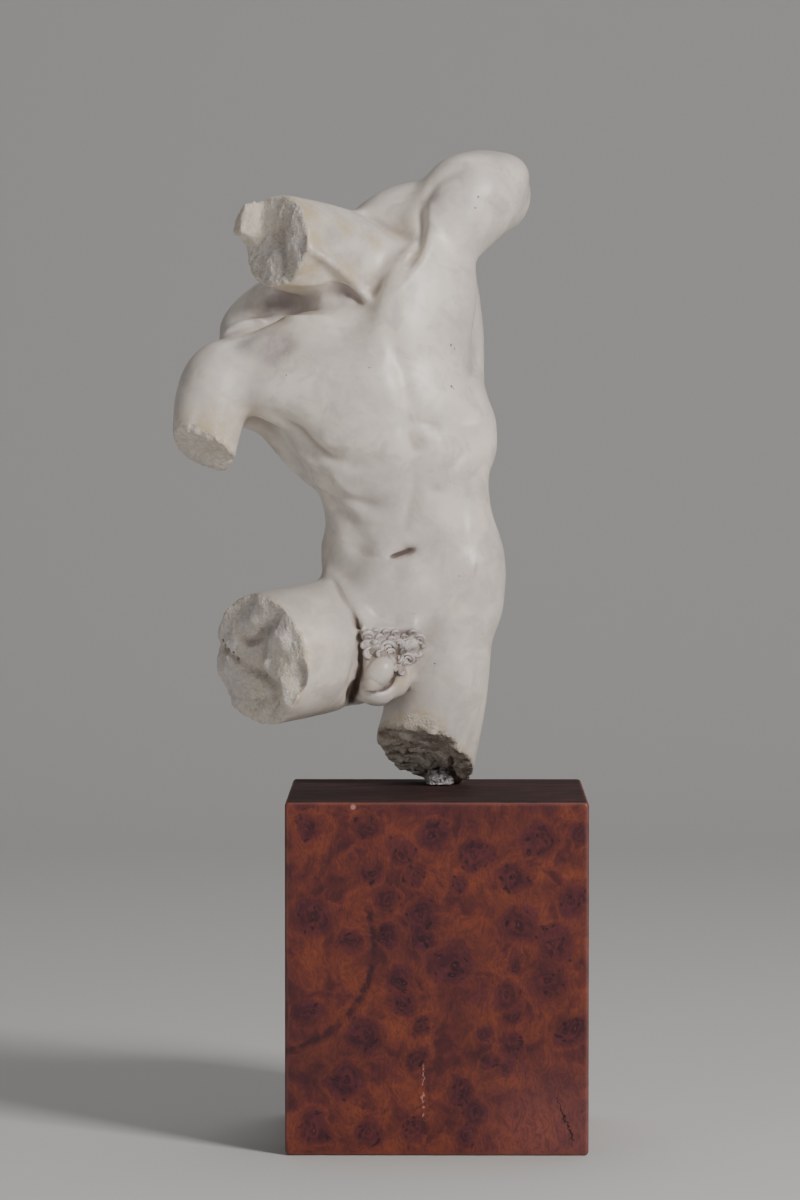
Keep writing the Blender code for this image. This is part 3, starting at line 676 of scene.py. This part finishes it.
def grid_faces(rows, columns, wrap=False):
    """Quads between the points of a grid of rows by columns, closed round its columns if wrap."""
    i, j = np.meshgrid(np.arange(rows - 1), np.arange(columns if wrap else columns - 1), indexing="ij")
    right = (j + 1) % columns
    start, end = i * columns, (i + 1) * columns
    return np.stack((start + j, end + j, end + right, start + right), -1).reshape(-1, 4)


def make_block():
    """The wooden block: a box whose skin is a ball's radius from an inner box, worn along its edges."""
    sides = [block_side(axis, sign) for axis in range(3) for sign in (-1, 1)]
    half = (BLOCK_HIGH - BLOCK_LOW) / 2
    middle = (BLOCK_HIGH + BLOCK_LOW) / 2
    points = np.vstack([side for side, _ in sides]) * half
    faces = np.vstack([quads + k * len(side) for k, (side, quads) in enumerate(sides)])
    radius = EDGE_RADIUS * MM
    inner = np.clip(points, radius - half, half - radius)
    outward = unit(points - inner)
    points = inner + radius * outward
    near = np.sort(half - np.abs(points), axis=1)[:, 1] / MM
    edge = np.exp(-((near / WEAR_REACH) ** 2))
    nicks = smoothstep(0.35, 0.8, lattice_noise(points / MM, 5.5, 11))
    nicks = nicks + 0.3 * lattice_noise(points / MM, 2.2, 12)
    points = points - outward * (edge * np.clip(nicks, 0, 1) * WEAR_DEPTH * MM)[:, None]
    block = mesh_object("burr_block", points + middle, faces)
    close_seams(block)
    points = read_points(block.data) - middle
    near = np.sort(half - np.abs(points), axis=1)[:, 1] / MM
    # Paler along the edges: partly wear, partly a painted highlight line.
    write_mask(block.data, "worn", np.exp(-((near / PALE_REACH) ** 2)))
    write_mask(block.data, "top", smoothstep(-0.6, -0.05, (points[:, 2] - half[2]) / MM))
    return block


def close_seams(obj):
    bm = bmesh.new()
    bm.from_mesh(obj.data)
    bmesh.ops.remove_doubles(bm, verts=bm.verts[:], dist=MERGE_SEAM)
    bmesh.ops.recalc_face_normals(bm, faces=bm.faces[:])
    bm.to_mesh(obj.data)
    bm.free()
    obj.data.polygons.foreach_set("use_smooth", np.full(len(obj.data.polygons), True))


def make_mortar():
    """The lump of mortar: rings round an upright axis, their radius broken up by noise, spread at the foot."""
    low, high = (np.array(corner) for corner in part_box("fixing_mortar"))
    middle, half = (low + high) / 2, (high - low) / 2
    rows, columns = 34, 72
    level, angle = np.linspace(-1, 1, rows), np.linspace(0, 2 * math.pi, columns, False)
    level, angle = np.meshgrid(level, angle, indexing="ij")
    spread = (1 - np.abs(level) ** 14) ** (1 / 14) * (0.97 - 0.07 * level)
    points = np.stack((spread * np.cos(angle), spread * np.sin(angle), level), -1).reshape(-1, 3) * half
    rough = 0.26 * facets(points / MM, 3.4, 21) + 0.07 * lattice_noise(points / MM, 1.1, 22)
    points[:, :2] *= np.clip(0.93 + rough, 0.6, 1.0)[:, None]
    mortar = mesh_object("mortar_lump", points + middle, grid_faces(rows, columns, wrap=True))
    close_seams(mortar)
    return mortar


# Materials


def arithmetic(operation, swapped=False):
    """A method that adds the Math node for two values, the other one first where swapped."""

    def method(self, other):
        return self.math(operation, *((other, self) if swapped else (self, other)))

    return method


class Field:
    """A number or colour that varies over a surface. Arithmetic on fields adds the Math nodes for it."""

    __add__, __radd__ = arithmetic("ADD"), arithmetic("ADD", True)
    __sub__, __rsub__ = arithmetic("SUBTRACT"), arithmetic("SUBTRACT", True)
    __mul__, __rmul__ = arithmetic("MULTIPLY"), arithmetic("MULTIPLY", True)
    __truediv__, __rtruediv__ = arithmetic("DIVIDE"), arithmetic("DIVIDE", True)

    def __init__(self, finish, socket):
        self.finish = finish
        self.socket = socket

    def math(self, operation, *values):
        return self.finish.math(operation, *values)

    def largest(self, other):
        return self.math("MAXIMUM", self, other)

    def step(self, low, high):
        """0 at low and 1 at high, with a smooth step between."""
        settings = {"interpolation_type": "SMOOTHSTEP"}
        return self.finish.node("ShaderNodeMapRange", settings, self, low, high, 0.0, 1.0)


class Finish:
    """A material with a Principled shader, built up from fields."""

    def __init__(self, name, **constants):
        self.material = bpy.data.materials.new(name)
        self.material.use_nodes = True
        self.tree = self.material.node_tree
        self.shader = self.tree.nodes["Principled BSDF"]
        for socket, value in constants.items():
            self.shader.inputs[socket.replace("_", " ")].default_value = value
        self.place = self.node("ShaderNodeTexCoord", {}, output="Object")

    def node(self, kind, settings, *values, output=0, **named):
        """A node of that kind, set up first, with its sockets then filled in order or by name."""
        node = self.tree.nodes.new(kind)
        for key, value in settings.items():
            setattr(node, key, value)
        sockets = [s for s in node.inputs if s.enabled]
        pairs = list(zip(sockets, values))
        pairs += [(node.inputs[key.replace("_", " ")], value) for key, value in named.items()]
        for socket, value in pairs:
            if isinstance(value, Field):
                self.tree.links.new(value.socket, socket)
            elif hasattr(socket.default_value, "__len__") and len(socket.default_value) == 4:
                socket.default_value = (*value[:3], 1.0)
            else:
                socket.default_value = value
        return Field(self, node.outputs[output])

    def mask(self, name):
        return self.node("ShaderNodeAttribute", {"attribute_name": name}, output="Fac")

    def noise(self, size, detail=3.0, roughness=0.55, place=None, output="Fac", **more):
        """Cloudy noise, 0 to 1, whose lumps are about size millimetres."""
        more.update(Scale=1 / (size * MM), Detail=detail, Roughness=roughness)
        return self.node("ShaderNodeTexNoise", {}, Vector=place or self.place, output=output, **more)

    def cells(self, size, place=None, output="Distance", **more):
        """Distance to scattered points about size millimetres apart, in units of that size."""
        more.update(Scale=1 / (size * MM), Randomness=1.0)
        return self.node("ShaderNodeTexVoronoi", {}, Vector=place or self.place, output=output, **more)

    def mix(self, share, low, high, blend="MIX"):
        """The colour low where share is 0, high where it is 1."""
        settings = {"data_type": "RGBA", "blend_type": blend}
        return self.node("ShaderNodeMix", settings, share, low, high, output=2)

    def layered(self, base, *layers):
        """The base colour under layers, each a share and the colour that is mixed in by it."""
        for share, colour in layers:
            base = self.mix(share, base, colour)
        return base

    def math(self, operation, *values):
        return self.node("ShaderNodeMath", {"operation": operation}, *values)

    def vector(self, operation, *values, output=0):
        return self.node("ShaderNodeVectorMath", {"operation": operation}, *values, output=output)

    def distance(self, place, x, y, z):
        """Metres from a place to a point given in millimetres."""
        return self.vector("DISTANCE", place, (x * MM, y * MM, z * MM), output="Value")

    def spot(self, point, size):
        """1 within size millimetres of a point that is given in metres, softly 0 beyond."""
        near = self.vector("DISTANCE", self.place, tuple(point), output="Value")
        return 1 - near.step(0.6 * size * MM, 1.2 * size * MM)

    def moved(self, by, amount):
        """Places shifted by a colour field less its middle, times amount in millimetres."""
        shift = self.vector("MULTIPLY", self.vector("SUBTRACT", by, (0.5, 0.5, 0.5)), (amount * MM,) * 3)
        return self.vector("ADD", self.place, shift)

    def bump(self, height, depth):
        """The normal of a relief whose height of 1 is depth millimetres."""
        return self.node("ShaderNodeBump", {}, Strength=1.0, Distance=depth * MM, Height=height)

    def drive(self, **fields):
        for socket, field in fields.items():
            self.tree.links.new(field.socket, self.shader.inputs[socket.replace("_", " ")])


# Dark specks in the marble, x and z of each in millimetres over the block's top, and its size.
SPECKS = ((16.5, 239.5, 0.45), (15.3, 235.0, 0.35), (5.6, 180.0, 0.5), (5.8, 163.5, 0.55), (6.7, 162.6, 0.3),
          (-85.9, 61.5, 0.9), (-84.9, 59.6, 0.8), (-83.4, 58.0, 1.0), (-81.6, 56.8, 0.8), (-79.6, 54.8, 1.0),
          (-27.0, 171.0, 0.3), (20.0, 118.0, 0.35), (-1.0, 52.0, 0.35), (-60.0, 168.0, 0.3), (7.0, 178.6, 0.35))


def marble_finish(specks):
    """Old white marble: cream and grey clouds, brown patina and painted shade in the hollows, ochre by the
    breaks, grainy where broken.
    """
    f = Finish(
        "old_marble",
        Subsurface_Weight=0.10,
        Subsurface_Radius=(1.0, 0.75, 0.5),
        Subsurface_Scale=0.002,
        IOR=1.5,
    )
    broken, rim, hollow = f.mask("broken"), f.mask("rim"), f.mask("hollow")
    clouds = f.noise(38, 4.0, 0.6)
    patchy = f.noise(11, 5.0, 0.6, Distortion=0.6)
    fine = f.noise(2.2, 4.0, 0.6)
    dirt = f.noise(6, 5.0, 0.7)
    skin = f.layered(
        f.mix(clouds.step(0.38, 0.62), (0.73, 0.66, 0.575), (0.56, 0.51, 0.465)),
        (patchy.step(0.47, 0.64) * 0.55, (0.50, 0.435, 0.405)),
        # Painted shade: darker grey-brown in the broad valleys of the skin.
        ((f.mask("valley") + patchy - 0.5).step(0.0, 1.8) * 0.65, (0.42, 0.355, 0.325)),
        (fine.step(0.4, 0.8) * 0.25, (0.74, 0.69, 0.61)),
    )
    ochre = f.mask("ochre") * dirt.step(0.25, 0.6) + rim.step(0.2, 0.9) * dirt.step(0.35, 0.7) * 0.8
    # Partly grey and violet discolouring, mostly painted shade in the skin's pits, creases and undersides.
    soot = f.mask("soot") * (patchy + dirt) * (1 - ochre.step(0.2, 1.0))
    # The hair's mauve, darkened by painted shade in its hollows and at the backs of the locks.
    hair = f.mix(hollow.step(-0.6, 0.9), (0.53, 0.475, 0.475), (0.18, 0.145, 0.14))
    settled = hollow.step(0.25, 1.3) * dirt.step(0.1, 0.6)
    slanting = f.node("ShaderNodeMapping", {}, f.place, (0, 0, 0), (0, 0.85, 0), (1.0, 1.0, 0.08))
    lines = f.noise(1.6, 2.0, 0.5, place=slanting).step(0.56, 0.64) * f.mask("scratched")
    skin = f.layered(
        skin,
        (ochre.step(0.0, 1.0) * 0.8, (0.51, 0.40, 0.235)),
        # Painted shade, partly discolouring, in the pits, creases and undersides.
        (soot.step(0.15, 1.15) * 0.8, (0.29, 0.24, 0.24)),
        (f.mask("hair") * 0.8, hair),
        # Painted shade: browner in the skin's hollows.
        (hollow.step(0.05, 0.9) * 0.45, (0.40, 0.33, 0.28)),
        (settled * 0.7, (0.24, 0.18, 0.12)),
        # Painted shadow: near black in the deepest cuts, such as the navel, the groin and the gap by the pouch.
        (f.mask("deep").step(0.35, 0.85) * 0.9, (0.07, 0.045, 0.035)),
        (lines * 0.35, (0.40, 0.35, 0.32)),
    )
    pits = f.cells(4.6)
    chosen = f.node("ShaderNodeSeparateColor", {}, f.cells(4.6, output="Color"))
    pit = (1 - pits.step(0.04, 0.09)) * chosen.step(0.9, 0.93) * 0.6
    for point, size in specks:
        pit = pit.largest(f.spot(point, size))

    grain_tone = f.node("ShaderNodeSeparateColor", {}, f.cells(1.1, output="Color"))
    grains = f.cells(1.1)
    crumbs = f.noise(1.6, 5.0, 0.7)
    stain = f.noise(8, 4.0, 0.6, Distortion=0.8)
    shade = f.mix(stain.step(0.36, 0.62), (0.40, 0.33, 0.25), (0.66, 0.59, 0.49))
    shade = f.mix((1 - crumbs.step(0.3, 0.5)) * 0.5, shade, (0.20, 0.16, 0.12))
    # Painted shade: greyer in the valleys cut into the broken faces.
    crease = f.mask("creased") * (1 - f.mask("dark")) * (stain + dirt + crumbs - 0.9)
    pepper = (1 - grains.step(0.12, 0.3)) * stain.step(0.44, 0.58)
    stone = f.layered(
        f.mix(grain_tone * 0.6 + crumbs * 0.4, (0.54, 0.48, 0.415), (0.79, 0.725, 0.65)),
        (stain.step(0.42, 0.6) * 0.45, (0.60, 0.51, 0.35)),
        (clouds.step(0.46, 0.6) * 0.4, (0.53, 0.475, 0.475)),
        # Painted shade: darker in the hollows of the broken faces.
        (hollow.step(0.25, 1.0) * 0.5, (0.25, 0.205, 0.165)),
        ((1 - crumbs.step(0.28, 0.4)) * 0.4, (0.16, 0.13, 0.11)),
        # Painted shade on the left thigh's break and on the dim places.
        (f.mask("dark") * 0.85, shade),
        # Painted shade in the valleys of the breaks.
        (crease.step(0.0, 1.1) * 0.65, (0.23, 0.195, 0.18)),
        (pepper * 0.55, (0.24, 0.20, 0.20)),
    )
    colour = f.mix(broken, skin, stone)
    colour = f.mix(pit * 0.85, colour, (0.17, 0.12, 0.085))

    roughness = 0.33 + fine * 0.12 + settled * 0.25 + soot * 0.2 + broken * 0.42
    relief = (1 - broken) * (fine * 0.08 + patchy * 0.3 - pit * 0.8)
    relief = relief + broken * (grains * -0.8 + crumbs * 1.4)
    f.drive(Base_Color=colour, Roughness=roughness, Normal=f.bump(relief, 0.35))
    return f.material


# Eyes of the burr on the block's front, in millimetres: x, height and half width.
EYES = (
    (29.9, 110, 6.8), (5.9, 76.1, 8.4), (-13.9, 119.6, 5.8), (-1, 125.6, 6.4), (15.2, 119.6, 7),
    (7.3, 109, 5), (-8.3, 111.7, 5), (-19.6, 102.2, 5.4), (-19.6, 87.4, 4.6), (-4.8, 96.1, 6.8),
    (-5.7, 87, 5), (-14.9, 69.2, 5.2), (-13.5, 60.5, 6), (-6.6, 51, 4.2), (-7.4, 38.8, 5.2),
    (-28.3, 47.5, 7.4), (28.2, 63.1, 6), (29, 54.5, 4.6), (29.9, 43.1, 5.4), (29, 35.3, 4),
    (21.2, 37.5, 3.4), (32.5, 91, 8.2), (45.5, 84, 7.8), (43.8, 69.2, 8.4), (31.7, 76.1, 4.4),
    (-36.1, 29.3, 7.6), (9.1, 25, 5.2), (15.6, 17.5, 5.2), (12.5, 9, 4.6), (-26.5, 9.3, 6),
    (-9.2, 10.2, 5), (40.3, 125.6, 7.4), (54.2, 101.3, 6.6), (56, 127.4, 5), (-27, 129.6, 6),
    (-25.6, 112.6, 5), (-50.8, 131.7, 5), (-49, 94.4, 8), (-50.8, 56, 6), (-48.2, 10, 7.4),
    (54.2, 50, 7), (19, 48, 3), (-34, 84, 5),
)
WOOD_TONE = (0.90, 0.76, 0.88)  # the wax's tone, which multiplies the wood's
# On the block's front, in millimetres: a dark vein on an arc, cracks as x, z low and z high, and a nick.
VEIN_MIDDLE = (-68.0, 84.0)
VEIN_RADIUS = 43.3
VEIN_TOP = 101.0
PALE_CRACK = (-5.2, 12.0, 37.0)
DARK_CRACK = (50.5, 5.0, 24.0)
NICK = (-33.0, -59.6, 138.0)


def burr_finish():
    """Waxed burr wood: orange-brown figure, purple-brown eyes in clusters, a curved vein, pale edges, partly
    worn and partly a painted highlight line.
    """
    f = Finish("burr_wood", Coat_Weight=0.04, Coat_Roughness=0.3, IOR=1.4)
    worn, top = f.mask("worn"), f.mask("top")
    x, y, z = (f.node("ShaderNodeSeparateXYZ", {}, f.place, output=k) for k in range(3))
    front = 1 - y.step(-0.0590, -0.0570)
    swirl = f.moved(f.noise(27, 3.0, output="Color"), 26)
    swirl = f.vector("ADD", swirl, f.vector("MULTIPLY", f.noise(7, 3.0, output="Color"), (0.0035,) * 3))
    tall = f.vector("MULTIPLY", swirl, (1.0, 1.0, 0.78))
    upright = f.vector("MULTIPLY", swirl, (1.0, 1.0, 0.16))
    flow = f.noise(16, 5.0, 0.62, place=swirl, Distortion=1.5)
    tint = f.noise(42, 2.0, 0.5)
    fibre = f.noise(0.9, 3.0, 0.6, place=upright)
    wood = f.layered(
        f.mix(flow.step(0.33, 0.66), (0.190, 0.050, 0.024), (0.110, 0.028, 0.021)),
        (f.noise(9, 4.0, 0.6, place=swirl).step(0.46, 0.7) * 0.45, (0.265, 0.076, 0.024)),
        (tint.step(0.46, 0.72) * 0.55, (0.070, 0.020, 0.020)),
    )

    patches = f.noise(12, 4.0, 0.6, place=swirl)
    purple = f.mix(flow.step(0.35, 0.6), (0.084, 0.020, 0.028), (0.038, 0.009, 0.017))
    small = f.cells(3.4, place=tall)
    flat = f.vector("MULTIPLY", f.moved(f.noise(10, 4.0, 0.6, output="Color"), 13.0), (1.0, 0.0, 1.0))
    ragged = f.distance(flat, EYES[0][0], 0, EYES[0][1]) / (EYES[0][2] * MM)
    for eye_x, eye_z, half in EYES[1:]:
        ragged = f.math("MINIMUM", ragged, f.distance(flat, eye_x, 0, eye_z) / (half * MM))
    eyes = f.cells(13.0, place=tall)
    chosen = f.node("ShaderNodeSeparateColor", {}, f.cells(13.0, place=tall, output="Color"))
    others = eyes * 2.4 + (1 - chosen.step(0.45, 0.5)) * 2.0
    ragged = ragged * front + others * (1 - front)
    soft = ragged + (flow - 0.5) * 1.2
    disc = 1 - soft.step(0.6, 1.35)
    rings = f.math("SINE", ragged * 15.0 + flow * 6.0)
    buds = disc.step(0.3, 0.8) * small.step(0.02, 0.08)
    pupil = 1 - ragged.step(0.10, 0.28)
    # Lighter and pinker towards the lower right of the front.
    pink = x.step(0.005, 0.045) * (1 - z.step(0.010, 0.050)) * front
    wood = f.layered(
        wood,
        ((1 - soft.step(1.1, 1.4)) * (1 - disc) * 0.15, (0.250, 0.068, 0.024)),
        (soft.step(1.1, 1.4) * patches.step(0.45, 0.62) * 0.6, purple),
        (disc * (0.45 + tint * 0.8), purple),
        (disc * rings.step(0.0, 1.0) * 0.30, (0.150, 0.038, 0.028)),
        (buds * (1 - small.step(0.16, 0.34)) * 0.8, (0.012, 0.004, 0.007)),
        (disc.step(0.3, 0.8) * (1 - small.step(0.03, 0.09)) * 0.6, (0.20, 0.075, 0.05)),
        (pupil * 0.45, (0.016, 0.005, 0.008)),
        ((1 - ragged.step(0.02, 0.07)) * 0.5, (0.19, 0.075, 0.05)),
        (pink * 0.35, (0.26, 0.105, 0.085)),
    )

    arc = f.vector("MULTIPLY", f.place, (1.0, 0.0, 1.0))
    arc = f.distance(arc, VEIN_MIDDLE[0], 0, VEIN_MIDDLE[1]) + (flow - 0.5) * 0.006
    arc = f.math("ABSOLUTE", arc - VEIN_RADIUS * MM)
    beads = f.noise(4.5, 3.0, 0.6).step(0.36, 0.56) * 0.7 + 0.3
    vein = (1 - arc.step(0.0005, 0.0021)) * (1 - z.step(VEIN_TOP * MM - 0.006, VEIN_TOP * MM)) * front * beads

    streak = f.vector("MULTIPLY", f.place, (0.12, 1.0, 1.0))
    streak = f.noise(2.4, 4.0, 0.65, place=streak)
    board = f.mix(streak.step(0.44, 0.64), (0.003, 0.0015, 0.001), (0.075, 0.026, 0.020))

    wander = (f.noise(3.0, 4.0, 0.7) - 0.5) * 0.006
    pale = crack_line(f, x + wander, z, PALE_CRACK, 0.5) * front * f.noise(2.2, 2.0).step(0.45, 0.55)
    pale = pale.largest(f.spot([v * MM for v in NICK], 1.2))
    dark = crack_line(f, x + wander + (z - 0.015) * 0.4, z, DARK_CRACK, 0.35) * front
    wood = f.layered(
        wood,
        (vein * 0.85, (0.032, 0.009, 0.014)),
        (top * 0.9, board),
        (fibre.step(0.40, 0.66) * 0.38, (0.038, 0.011, 0.009)),
        (pale * 0.8, (0.42, 0.25, 0.18)),
        (dark * 0.9, (0.010, 0.004, 0.004)),
        # Pale edges: partly wear, partly a painted highlight line.
        (worn * 0.5, (0.34, 0.17, 0.12)),
    )
    wood = f.mix(1.0, wood, WOOD_TONE, blend="MULTIPLY")
    relief = fibre * 0.4 + flow * 0.4 - vein - dark * 2.0
    roughness = 0.40 + fibre * 0.12 + worn * 0.1 + top * 0.6
    f.drive(Base_Color=wood, Roughness=roughness, Normal=f.bump(relief, 0.08))
    return f.material


def crack_line(f, x, z, crack, half):
    """1 along an upright line in the block's front, between two heights."""
    middle, low, high = crack
    across = f.math("ABSOLUTE", x - middle * MM)
    line = 1 - across.step(0.4 * half * MM, 1.2 * half * MM)
    return line * z.step(low * MM, (low + 2) * MM) * (1 - z.step((high - 2) * MM, high * MM))


def mortar_finish():
    """Grey mortar with pale grit and dark pits."""
    f = Finish("mortar")
    grit = f.cells(0.8)
    tone = f.noise(1.8, 5.0, 0.65)
    colour = f.mix(tone.step(0.36, 0.6), (0.11, 0.105, 0.10), (0.47, 0.455, 0.44))
    colour = f.mix((1 - grit.step(0.1, 0.3)) * 0.5, colour, (0.66, 0.64, 0.62))
    f.drive(Base_Color=colour, Roughness=0.75 + tone * 0.2, Normal=f.bump(tone - grit, 0.4))
    return f.material


def floor_finish():
    f = Finish("pale_floor", Roughness=0.85)
    f.shader.inputs["Base Color"].default_value = (0.62, 0.615, 0.60, 1)
    return f.material


# The set

PHOTO_WIDTH = 800
PHOTO_HEIGHT = 1200
HORIZON_ROW = 372.4  # where the block's level edges would meet the eye's height
VANISHING_COLUMN = 437.0  # where edges running straight back would meet
FOCAL_PIXELS = 5295.0
CAMERA_Y = -2.14
CAMERA_OVER_BLOCK = 0.1691
SENSOR = 36.0


def make_camera():
    camera = bpy.data.objects.new("camera", bpy.data.cameras.new("camera"))
    bpy.context.scene.collection.objects.link(camera)
    camera.data.sensor_width = SENSOR
    camera.data.lens = SENSOR * FOCAL_PIXELS / PHOTO_HEIGHT
    camera.data.clip_start = 0.05
    tilt = math.atan((PHOTO_HEIGHT / 2 - HORIZON_ROW) / FOCAL_PIXELS)
    pan = math.atan((VANISHING_COLUMN - PHOTO_WIDTH / 2) / FOCAL_PIXELS)
    camera.location = (0, CAMERA_Y, BLOCK_TOP + CAMERA_OVER_BLOCK)
    camera.rotation_euler = (math.pi / 2 - tilt, 0, pan)
    bpy.context.scene.camera = camera


def softbox(name, place, size, power, colour=(1, 1, 1)):
    light = bpy.data.objects.new(name, bpy.data.lights.new(name, "AREA"))
    light.data.size = size
    light.data.energy = power
    light.data.color = colour
    light.location = place
    aim = Vector((-0.02, 0, BLOCK_TOP + 0.10))
    light.rotation_euler = (aim - Vector(place)).to_track_quat("-Z", "Y").to_euler()
    bpy.context.scene.collection.objects.link(light)


SWEEP_FRONT = -4.0  # the floor runs from here to where it curves up, metres
SWEEP_BACK = 1.3
SWEEP_RADIUS = 1.2
SWEEP_HEIGHT = 4.0
FLOOR_DROP = 0.0001


def make_sweep():
    """The floor and the wall behind it in one: flat, then a quarter of a circle, then upright."""
    angle = np.linspace(0, math.pi / 2, 25)
    y = np.linspace(SWEEP_FRONT, SWEEP_BACK, 20)[:-1]
    y = np.concatenate((y, SWEEP_BACK + SWEEP_RADIUS * np.sin(angle)))
    z = np.concatenate((np.zeros(19), SWEEP_RADIUS * (1 - np.cos(angle))))
    y, z = np.append(y, y[-1]), np.append(z, SWEEP_HEIGHT)
    x = np.linspace(-4, 4, 20)
    points = np.stack(np.broadcast_arrays(x, y[:, None], z[:, None] - FLOOR_DROP), -1)
    return mesh_object("floor", points.reshape(-1, 3), grid_faces(len(y), len(x)))


def make_set():
    """A wide pale floor that curves up behind, and soft light from the upper right, the left and behind."""
    floor = make_sweep()
    floor.data.materials.append(floor_finish())
    world = bpy.data.worlds.new("surround")
    world.use_nodes = True
    world.node_tree.nodes["Background"].inputs["Color"].default_value = (0.78, 0.80, 0.83, 1)
    world.node_tree.nodes["Background"].inputs["Strength"].default_value = 0.10
    bpy.context.scene.world = world
    softbox("key", (1.20, -1.35, 1.05), 0.46, 40.0, (1.0, 0.97, 0.945))
    softbox("fill", (-1.2, -1.6, 0.25), 0.6, 6.5, (0.96, 0.97, 1.0))
    softbox("wall light", (0.0, 0.6, 2.6), 1.2, 14.0)


def dress(piece, finish, node):
    piece.data.materials.append(finish)
    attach(piece, "root")
    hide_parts(node)


make_camera()
make_set()
torso = make_torso()
seen_at = surface_seen(torso.data, FRONT)
dress(torso, marble_finish([(seen_at(x, z), size) for x, z, size in SPECKS]), "torso")
dress(make_mortar(), mortar_finish(), "fixing_mortar")
dress(make_block(), burr_finish(), "plinth")
